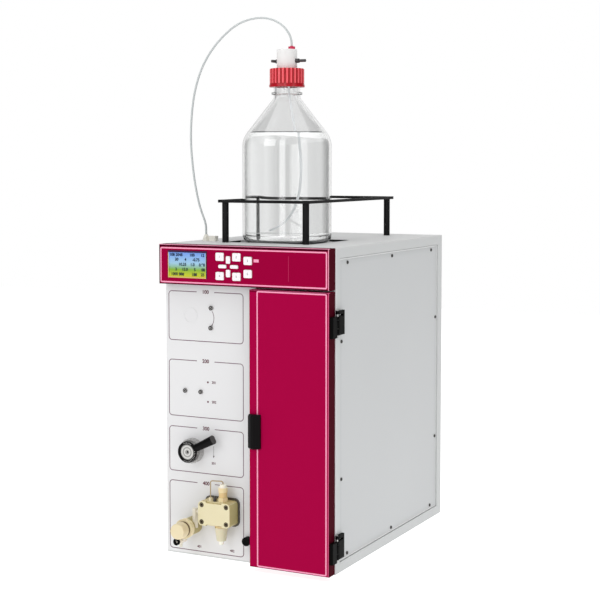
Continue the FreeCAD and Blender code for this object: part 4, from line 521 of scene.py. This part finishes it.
# the tube in the eluent glows a little: painted light that keeps it pale through the glass
innerSheet = newFinish("tube in the eluent")
shade = innerSheet.blend(innerSheet.noise(innerSheet.spot(), 60.0), paint(204, 207, 208), paint(188, 191, 193))
innerGlowFinish = close(innerSheet, shade, 0.4, Emission_Color=(0.52, 0.54, 0.55, 1.0), Emission_Strength=0.7)

screen = {"left": 17.4, "right": 80.7, "low": 417.8, "high": 453.5, "edgeTop": 0.2, "edgeRight": 0.4,
          "edgeLeft": 0.9, "glow": 0.12, "frame": (52, 16, 60), "edge": (216, 186, 110), "colours": (
              (0.0, (196, 196, 34)), (0.3, (122, 166, 50)), (0.55, (150, 190, 214)), (1.0, (112, 152, 226)))}
displaySheet = newFinish("display frame and screen")
across, _, height = displaySheet.places(displaySheet.spot())
inside = (across > screen["left"]).least(across < screen["right"])
inside = inside.least(height > screen["low"]).least(height < screen["high"])
share = (height - screen["low"]) / (screen["high"] - screen["low"])
picture = displaySheet.node("ShaderNodeValToRGB", {0: share}, stops=[
    (place, paint(*colour)) for place, colour in screen["colours"]])
isEdge = (height > screen["high"] - screen["edgeTop"]).most(across > screen["right"] + screen["edgeRight"])
isEdge = isEdge.most(across < screen["left"] - screen["edgeLeft"])
frameShade = displaySheet.blend(isEdge, paint(*screen["edge"]), paint(*screen["frame"]))
glow = displaySheet.blend(inside, (0, 0, 0, 1), picture)
dress(close(displaySheet, displaySheet.blend(inside, frameShade, picture), 0.22, Emission_Color=glow,
            Emission_Strength=screen["glow"]), "display_module")


def layCord(name, points, radius, finish, node):
    curve = bpy.data.curves.new(name, "CURVE")
    curve.dimensions = "3D"
    line = curve.splines.new("NURBS")
    line.points.add(len(points) - 1)
    for point, place in zip(line.points, points):
        point.co = (*at(*place), 1.0)
    line.order_u = 3
    line.use_endpoint_u = True
    line.resolution_u = 16
    curve.bevel_depth = radius / 1000
    curve.bevel_resolution = 5
    curve.use_fill_caps = True
    curve.materials.append(finish)
    cord = bpy.data.objects.new(name, curve)
    bpy.context.collection.objects.link(cord)
    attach(cord, "root")
    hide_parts(node)
    at(*points[0])
    return cord


print("tubes: from the bottle head to the cover, and down inside the bottle")
cords = {"radius": 1.6, "eluentLength": 458.8, "suctionLength": 243.9, "nut": (143.6, 131.0, 760.6),
         "gland": (22.5, 80.0, 475.0), "bottle": (135.5, 131.0, 462.5)}
overBottle = [(0, 0, 0), (0, 0, 9), (-6, -0.4, 22), (-18, -1, 34.5), (-38, -4, 43.5), (-60, -10, 43.8),
              (-84, -18, 35.5), (-106, -26, 16), (-124, -32, -7)]  # from the nut
toGland = [(-16.5, 14, 252), (-25, 9, 219), (-28.8, 6, 183), (-29, 3.5, 145), (-25, 1.5, 109),
           (-19.5, 0.5, 75), (-11.5, 0.2, 42), (-1, 0, 18), (0, 0, 9), (0, 0, 0)]  # from the gland
inBottle = [(2.5, 0, 248), (2.5, 0, 238), (5, 0.8, 214), (10, 2, 184), (15, 2.3, 154), (17.6, 2, 125),
            (18, 1, 96), (15, 0, 69), (7, -1, 45), (-6, -2, 27), (-20.5, -3, 19)]  # from the bottle's foot


def along(start, steps):
    return [tuple(a + b for a, b in zip(start, step)) for step in steps]


layCord("eluentTube", along(cords["nut"], overBottle) + along(cords["gland"], toGland), cords["radius"],
        tubeFinish, "eluent_tube")
layCord("suctionLine", along(cords["bottle"], inBottle), cords["radius"], innerGlowFinish,
        "suction_line")


def finished(name, shape, finish, body):  # a plain mesh in its place, riding on its body
    shape.materials.clear()
    shape.materials.append(finish)
    piece = bpy.data.objects.new(name, shape)
    bpy.context.collection.objects.link(piece)
    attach(piece, body)
    return piece


def ink(name, colour, rough=0.5):
    sheet = newFinish(name)
    mottle = sheet.noise(sheet.spot(), 320.0, 3.0)
    return close(sheet, sheet.blend(mottle, colour, toned(colour, 0.86)), mottle * 0.1 + (rough - 0.05),
                 normal=sheet.bump(mottle, 0.04, 0.0002), Specular_IOR_Level=0.2)


class Print:  # flat marks on a front face: strips, dots and numerals in one mesh
    def __init__(self, back):
        self.shape, self.back = bmesh.new(), back

    def face(self, corners):
        self.shape.faces.new([self.shape.verts.new(at(right, self.back, up)) for right, up in corners])

    def strip(self, path, width, closed=False):
        points = [Vector(p) for p in path]
        count, sides = len(points), []
        for i, point in enumerate(points):
            before = points[i - 1] if closed or i else None
            after = points[(i + 1) % count] if closed or i < count - 1 else None
            arrive = (point - before).normalized() if before else (after - point).normalized()
            leave = (after - point).normalized() if after else arrive
            bend = (arrive + leave).normalized()
            across = Vector((-bend.y, bend.x)) * width / 2 / max(0.5, bend.dot(arrive))
            sides.append((point + across, point - across))
        for i in range(count if closed else count - 1):
            (inner, outer), (innerNext, outerNext) = sides[i], sides[(i + 1) % count]
            self.face([outer, outerNext, innerNext, inner])

    def dot(self, right, up, radius, sides=20):
        turns = [2 * math.pi * i / sides for i in range(sides)]
        self.face([(right + radius * math.cos(a), up + radius * math.sin(a)) for a in turns])

    def text(self, words, right, up, size, bold=0.0):
        curve = bpy.data.curves.new("numerals", "FONT")
        curve.offset = bold
        curve.body, curve.size, curve.align_x, curve.align_y = words, size, "CENTER", "CENTER"
        letters = bpy.data.objects.new("numerals", curve)
        bpy.context.collection.objects.link(letters)
        flat = bpy.data.meshes.new_from_object(letters.evaluated_get(bpy.context.evaluated_depsgraph_get()))
        start = len(self.shape.verts)
        self.shape.from_mesh(flat)
        self.shape.verts.ensure_lookup_table()
        for vert in self.shape.verts[start:]:
            vert.co = at(right + vert.co.x, self.back, up + vert.co.y)
        bpy.data.objects.remove(letters)
        bpy.data.meshes.remove(flat)

    def finish(self, name, finish, body, slot):
        shape = bpy.data.meshes.new(name)
        bmesh.ops.triangulate(self.shape, faces=self.shape.faces[:])
        self.shape.normal_update()
        self.shape.to_mesh(shape)
        self.shape.free()
        return finished(name, shape, finish, body)


def arcPath(right, up, radius, angles):
    turns = [math.radians(angle) for angle in angles]
    return [(right + radius * math.cos(turn), up + radius * math.sin(turn)) for turn in turns]


def roundedPath(left, right, low, high, corner, gap=None):  # anticlockwise from the middle of the top
    path = arcPath(left + corner, high - corner, corner, range(90, 181, 15))
    path += arcPath(left + corner, low + corner, corner, range(180, 271, 15))
    path += arcPath(right - corner, low + corner, corner, range(270, 361, 15))
    path += arcPath(right - corner, high - corner, corner, range(0, 91, 15))
    if gap:
        path = [(gap[0], high)] + path + [(gap[1], high)]
    return path


print("bottle: the ring where the eluent climbs the glass")
# the meniscus is drawn as an opaque grey ring: painted shade for the dark line the curving eluent shows
level = {"low": 628.55, "profile": ((57.5, 0.0), (56.0, 1.6), (55.7, 0.15)), "sides": 96}
ring, rows = bmesh.new(), []
for step in range(level["sides"]):
    turn = 2 * math.pi * step / level["sides"]
    spokes = [(bottle["right"] + radius * math.cos(turn), bottle["back"] + radius * math.sin(turn),
               level["low"] + up) for radius, up in level["profile"]]
    rows.append([ring.verts.new(at(*spoke)) for spoke in spokes])
corners = len(level["profile"])
for step, row in enumerate(rows):
    following = rows[(step + 1) % len(rows)]
    for i in range(corners):
        j = (i + 1) % corners
        ring.faces.new([row[i], following[i], following[j], row[j]])
bmesh.ops.recalc_face_normals(ring, faces=ring.faces[:])
shape = bpy.data.meshes.new("eluentLevel")
ring.to_mesh(shape)
ring.free()
finished("eluentLevel", shape, ink("level line", paint(128, 131, 132), 0.2), "root")

print("front panel: printed frames, arrows and numbers")
panelPrint = {"back": -0.06, "line": 1.15, "corner": 5.0, "left": 4.9, "right": 131.3, "gap": (53.0, 83.0),
              "heights": ((321.5, 394.5), (208.0, 292.0), (124.8, 191.7), (6.8, 109.7))}
turnArrow = {"right": 63.6, "up": 356.6, "radius": 18.7, "line": 0.9,
             "head": ((-2.6, -1.2), (0.6, -1.0), (1.6, 2.2))}
marks = Print(panelPrint["back"])
for low, high in panelPrint["heights"]:
    marks.strip(roundedPath(panelPrint["left"], panelPrint["right"], low, high, panelPrint["corner"],
                            panelPrint["gap"]), panelPrint["line"])
turnPath = arcPath(turnArrow["right"], turnArrow["up"], turnArrow["radius"], range(32, -33, -8))
marks.strip(turnPath, turnArrow["line"])
marks.finish("panelFrames", ink("frame print", paint(118, 88, 102)), "root", "burgundy_paint")

leverArrow = {"right": 81.1, "up": 151.5, "top": 15.3, "line": 0.5, "head": ((-1.4, 1.1), (0.0, -2.6), (1.4, 1.1))}
marks = Print(panelPrint["back"] - 0.02)
foot = leverArrow["right"], leverArrow["up"]
marks.strip([(foot[0], foot[1] + leverArrow["top"]), foot], leverArrow["line"])
for end, arrow in ((turnPath[-1], turnArrow), (foot, leverArrow)):
    marks.face([(end[0] + right, end[1] + up) for right, up in arrow["head"]])
marks.finish("panelArrows", ink("dark print", paint(96, 84, 90)), "root", "dark_screws")

numbers = {"titles": ("100", "200", "300", "400"), "titleRight": 68.0, "titleSize": 7.6, "titleBold": 0.22,
           "size": 5.0, "bold": 0.14, "dots": ((71.6, 261.3), (71.6, 232.2)), "dot": 1.5,
           "labels": (("201", 82.0, 261.3), ("202", 82.0, 232.2), ("301", 81.0, 141.0), ("401", 56.0, 13.6),
                      ("402", 112.0, 13.6))}
marks = Print(panelPrint["back"] - 0.03)
for number, (low, high) in zip(numbers["titles"], panelPrint["heights"]):
    marks.text(number, numbers["titleRight"], high, numbers["titleSize"], numbers["titleBold"])
for right, up in numbers["dots"]:
    marks.dot(right, up, numbers["dot"])
for words, right, up in numbers["labels"]:
    marks.text(words, right, up, numbers["size"], numbers["bold"])
marks.finish("panelNumbers", ink("number print", paint(92, 22, 46)), "root", "burgundy_paint")

marks = Print(injector["dialFace"])
for turn in [*range(-110, 21, 10), *range(60, 111, 10)]:  # the lever's side of the dial is plain
    marks.strip([arcPath(injector["right"], injector["up"], reach, [turn])[0] for reach in injector["ticks"]],
                injector["tickLine"])
marks.finish("dialTicks", ink("dial graduations", paint(206, 204, 202)), "injector_lever", "steel")

print("pump head and ports: socket recesses and the shadow line round each")
# the dark hexes are painted shade in each screw's socket, the ring round each head a painted shadow in its gap
socket = {"right": 96.6, "up": 72.2, "across": 20.5, "over": 12.6, "hex": 1.9, "rim": 3.2, "line": 0.7}
marks = Print((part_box("pump_head_screws")[0][1] - cabinet["front"]) * 1000 - 0.03)
for side in (-1, 1):
    for over in (-1, 1):
        centre = socket["right"] + side * socket["across"], socket["up"] + over * socket["over"]
        marks.dot(*centre, socket["hex"], 6)
        marks.strip(arcPath(*centre, socket["rim"], range(0, 360, 15)), socket["line"], True)
marks.finish("socketMarks", ink("socket shadow", paint(38, 32, 24), 0.6), "root", "dark_screws")

# a painted shadow ring round each port, where it meets the panel
ports = {"face": -2.53, "ring": 2.6, "line": 1.3,
         "places": ((78.0, 371.5), (77.5, 342.1), (33.2, 246.6), (59.9, 246.4))}
marks = Print(ports["face"])
for right, up in ports["places"]:
    marks.strip(arcPath(right, up, ports["ring"], range(0, 360, 15)), ports["line"], True)
marks.finish("portRings", ink("port rim", paint(14, 12, 13), 0.5), "root", "dark_screws")

print("fascia and door: pink pinstripes")
stripes = {"back": -20.06, "line": 2.0, "corner": 1.6, "fascia": (4.0, 275.1, 409.6, 459.7),
           "door": (165.3, 274.8, 3.3, 401.0), "dash": (159.7, 167.9, 442.7, 447.0),
           "seam": (215.6, 417.0, 453.0), "seamLine": 0.9}
stripeInk = ink("pink pinstripe", paint(255, 164, 198), 0.4)
marks = Print(stripes["back"])
marks.strip(roundedPath(*stripes["fascia"], stripes["corner"]), stripes["line"], True)
left, right, low, high = stripes["dash"]  # beside the keys
marks.face([(left, low), (right, low), (right, high), (left, high)])
marks.finish("fasciaPinstripe", stripeInk, "root", "burgundy_paint")
marks = Print(stripes["back"])
marks.strip(roundedPath(*stripes["door"], stripes["corner"]), stripes["line"], True)
marks.finish("doorPinstripe", stripeInk, "door", "burgundy_paint")
right, low, high = stripes["seam"]
marks = Print(stripes["back"])
marks.strip([(right, low), (right, high)], stripes["seamLine"])
marks.finish("fasciaSeam", ink("faint seam", paint(184, 28, 84), 0.45), "root", "burgundy_paint")

print("display: rows of digits")
readout = {"back": -19.98, "size": 5.9, "bold": 0.16, "rows": (
    (449.8, ((30.0, "108 2048"), (57.5, "100"), (75.0, "12"))),
    (443.0, ((31.0, "30"), (46.0, "4"), (64.0, "-0.75"))),
    (435.8, ((41.0, "10.25"), (58.0, "1.0"), (74.0, "0.98"))),
    (428.6, ((30.0, "2"), (45.0, "15.0"), (62.0, "5"), (76.0, "08"))),
    (421.4, ((32.5, "1000 888"), (61.0, "188"), (75.0, "25"))))}
marks = Print(readout["back"])
for up, words in readout["rows"]:
    for right, word in words:
        marks.text(word, right, up, readout["size"], readout["bold"])
marks.finish("displayDigits", ink("display digits", paint(20, 34, 60), 0.3), "root", "display")

keyPrint = {"back": -21.56, "size": 4.6, "places": {
    "1": (104.2, 449.0), "2": (131.9, 449.1), "3": (150.4, 444.4), "4": (104.2, 421.1), "5": (131.9, 421.0),
    "6": (150.4, 425.7)}}
keyInk = ink("key print", paint(104, 96, 108))
for number, (right, up) in keyPrint["places"].items():
    marks = Print(keyPrint["back"])
    marks.text(number, right, up, keyPrint["size"])
    marks.finish("keyMark" + number, keyInk, "key_" + number, "key_white")


def shapeTree(name, sizes):
    tree = bpy.data.node_groups.new(name, "GeometryNodeTree")
    tree.interface.new_socket("Geometry", in_out="INPUT", socket_type="NodeSocketGeometry")
    for size, start in sizes.items():
        kind = "NodeSocketInt" if isinstance(start, int) else "NodeSocketFloat"
        tree.interface.new_socket(size, in_out="INPUT", socket_type=kind).default_value = start
    tree.interface.new_socket("Geometry", in_out="OUTPUT", socket_type="NodeSocketGeometry")
    sheet = Sheet(tree)
    entry = tree.nodes.new("NodeGroupInput")
    return sheet, {socket.name: Wire(sheet, socket) for socket in entry.outputs if socket.name}


def grow(name, sheet, shape, finish, sizes, places=()):  # the tree's result as a plain mesh, from millimetres
    whole = sheet.node("GeometryNodeRealizeInstances", {0: shape})
    whole = sheet.node("GeometryNodeSetMaterial", {"Geometry": whole, "Material": finish})
    leave = sheet.tree.nodes.new("NodeGroupOutput")
    sheet.tree.links.new(whole.socket, leave.inputs[0])
    seed = bpy.data.meshes.new(name + "Seed")
    seed.from_pydata([tuple(place) for place in places] or [(0, 0, 0)], [], [])
    carrier = bpy.data.objects.new(name + "Seed", seed)
    bpy.context.collection.objects.link(carrier)
    modifier = carrier.modifiers.new("shape", "NODES")
    modifier.node_group = sheet.tree
    for item in sheet.tree.interface.items_tree:
        if item.in_out == "INPUT" and item.name in sizes:
            size = sizes[item.name]
            modifier[item.identifier] = size if isinstance(size, int) else size / 1000
    result = bpy.data.meshes.new_from_object(carrier.evaluated_get(bpy.context.evaluated_depsgraph_get()))
    carrier.modifiers.remove(modifier)
    bpy.data.objects.remove(carrier)
    result.name = name
    return result


print("side covers: cross recesses in the screws")
# each cross is two dark bars, painted shade standing for the hollow of the screw's cross recess
screws = {"bar": {"Length": 2.6, "Width": 0.6, "Deep": 0.4}, "corner": 20.0, "third": 0.265, "front": 22.4,
          "rear": 385.6, "low": 21.4, "high": 442.6, "sunk": 0.45}
middle = (screws["front"] + screws["rear"]) / 2
rise = screws["third"] * (screws["high"] - screws["low"])
spots = [(back, up) for back in (screws["front"] + screws["corner"], middle, screws["rear"] - screws["corner"])
         for up in (screws["high"], screws["low"])]
spots += [(back, up) for back in (screws["front"], screws["rear"])
          for up in (screws["high"] - rise, screws["low"] + rise)]
heads = [at(side, back, up) for back, up in spots for side in (screws["sunk"], cabinet["width"] - screws["sunk"])]
sheet, size = shapeTree("cross recess", {"Length": 0.003, "Width": 0.0008, "Deep": 0.0005})
join = sheet.tree.nodes.new("GeometryNodeJoinGeometry")
for lean in (45, -45):
    box = sheet.node("ShaderNodeCombineXYZ", {0: size["Deep"], 1: size["Length"], 2: size["Width"]})
    bar = sheet.node("GeometryNodeMeshCube", {"Size": box})
    bar = sheet.node("GeometryNodeTransform", {"Geometry": bar, "Rotation": (math.radians(lean), 0, 0)})
    sheet.tree.links.new(bar.socket, join.inputs[0])
crosses = sheet.node("GeometryNodeInstanceOnPoints", {"Points": size["Geometry"],
                                                      "Instance": Wire(sheet, join.outputs[0])})
recessInk = ink("screw recess", paint(26, 25, 25), 0.6)
shape = grow("screwRecesses", sheet, crosses, recessInk, screws["bar"], heads)
finished("screwRecesses", shape, recessInk, "root")


def ringOfTeeth(name):  # teeth round an axis that runs back from the front
    sheet, size = shapeTree(name, {"Count": 40, "Radius": 0.0157, "Length": 0.009, "Tooth": 0.0012,
                                   "Height": 0.0006})
    circle = sheet.node("GeometryNodeMeshCircle", {"Vertices": size["Count"], "Radius": size["Radius"]})
    box = sheet.node("ShaderNodeCombineXYZ", {0: size["Height"], 1: size["Tooth"], 2: size["Length"]})
    tooth = sheet.node("GeometryNodeMeshCube", {"Size": box})
    index = sheet.node("GeometryNodeInputIndex")
    angle = index * (2 * math.pi) / size["Count"]
    turn = sheet.node("ShaderNodeCombineXYZ", {2: angle})
    teeth = sheet.node("GeometryNodeInstanceOnPoints", {"Points": circle, "Instance": tooth, "Rotation": turn})
    return sheet, sheet.node("GeometryNodeTransform", {"Geometry": teeth, "Rotation": (math.radians(90), 0, 0)})


def moved(shape, offset):
    for vert in shape.vertices:
        vert.co += offset
    return shape


print("injector: the knurled ring of its dial")
knurl = {"back": -12.5, "ring": {"Count": 44, "Radius": 15.75, "Length": 5.8, "Tooth": 1.1, "Height": 0.7}}
knurlMetal = brushed("knurled aluminium", paint(132, 131, 130), "Y", 0.34)
sheet, teeth = ringOfTeeth("dial knurl")
shape = grow("dialKnurl", sheet, teeth, knurlMetal, knurl["ring"])
finished("dialKnurl", moved(shape, at(injector["right"], knurl["back"], injector["up"])), knurlMetal,
         "injector_lever")

print("studio: camera, floor, panels and lamps")
view = {"place": (0.99131, -1.98447, 0.59134), "down": 3.604, "turn": 26.783, "lens": 85.60, "shift": -0.08}
camera = bpy.data.objects.new("camera", bpy.data.cameras.new("camera"))
camera.location = view["place"]
camera.rotation_euler = (math.radians(90 - view["down"]), 0, math.radians(view["turn"]))
camera.data.lens, camera.data.shift_y, camera.data.clip_start = view["lens"], view["shift"], 0.05
bpy.context.collection.objects.link(camera)
bpy.context.scene.camera = camera

floorMesh = bpy.data.meshes.new("floor")
reach = 3.4  # metres to each side
corners = [(-reach, -reach, 0), (reach, -reach, 0), (reach, reach, 0), (-reach, reach, 0)]
floorMesh.from_pydata(corners, [], [(0, 1, 2, 3)])
floor = bpy.data.objects.new("floor", floorMesh)
bpy.context.collection.objects.link(floor)
floorSheet = newFinish("studio floor")
floorMesh.materials.append(close(floorSheet, (0.5, 0.5, 0.5, 1.0), 0.9, Specular_IOR_Level=0.1,
                                 Emission_Color=(1.0, 1.0, 1.0, 1.0), Emission_Strength=0.82))
floor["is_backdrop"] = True

studio = bpy.data.worlds.new("studio")
studio.use_nodes = True
bpy.context.scene.world = studio
worldSheet = Sheet(studio.node_tree)
studio.node_tree.nodes.clear()
# the cards are grey and bright panels all round, as (share of a turn from straight behind, brightness)
studioLight = {"backdrop": 1.0, "fill": 0.42, "behind": 116.6, "peak": 5.0, "ceiling": 0.4, "ceilingLow": 0.45,
               "ceilingFade": 4.0, "cards": (
                   (0.0, 0.68), (0.014, 0.7), (0.03, 0.85), (0.055, 0.82), (0.08, 0.9), (0.10, 0.62),
                   (0.13, 0.22), (0.22, 0.10), (0.32, 0.16), (0.44, 0.3), (0.452, 3.2), (0.482, 3.2),
                   (0.495, 0.4), (0.60, 0.4), (0.615, 1.6), (0.65, 1.6), (0.66, 0.3), (0.72, 0.10),
                   (0.86, 0.16), (0.89, 0.7), (0.915, 0.94), (0.94, 0.85), (0.965, 0.94), (0.985, 0.7))}
isSeen = worldSheet.node("ShaderNodeLightPath", out="Is Camera Ray")
isDiffuse = Wire(worldSheet, isSeen.socket.node.outputs["Is Diffuse Ray"])
across, back, up = worldSheet.axes(worldSheet.node("ShaderNodeTexCoord", out="Generated"))
bearing = (back.angle(across) - math.radians(studioLight["behind"])) / (2 * math.pi)
cards = worldSheet.node("ShaderNodeValToRGB", {0: bearing % 1.0}, stops=[
    (place, (level / studioLight["peak"],) * 3 + (1.0,)) for place, level in studioLight["cards"]])
high = ((up - studioLight["ceilingLow"]) * studioLight["ceilingFade"]).most(0.0).least(1.0)
cards = cards * studioLight["peak"] * (1.0 - high) + high * studioLight["ceiling"]
strength = isDiffuse * studioLight["fill"] + (1.0 - isDiffuse) * cards
strength = isSeen * studioLight["backdrop"] + (1.0 - isSeen) * strength
background = worldSheet.node("ShaderNodeBackground", {"Color": (1, 1, 1, 1), "Strength": strength})
worldOut = studio.node_tree.nodes.new("ShaderNodeOutputWorld")
studio.node_tree.links.new(background.socket, worldOut.inputs["Surface"])

lampAim = Vector((0, 0, 0.4))
for name, place, size, power in (
    ("front lamp", (-0.9, -2.6, 1.5), 1.6, 17),
    ("top lamp", (0.3, -0.2, 2.8), 3.2, 44),
):
    light = bpy.data.lights.new(name, "AREA")
    light.size, light.energy = size, power
    lamp = bpy.data.objects.new(name, light)
    lamp.location = place
    lamp.rotation_euler = (lampAim - lamp.location).to_track_quat("-Z", "Y").to_euler()
    bpy.context.collection.objects.link(lamp)
bpy.context.scene.view_settings.view_transform = "Standard"

low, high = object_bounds()
print("size:", [round(v, 4) for v in high - low])
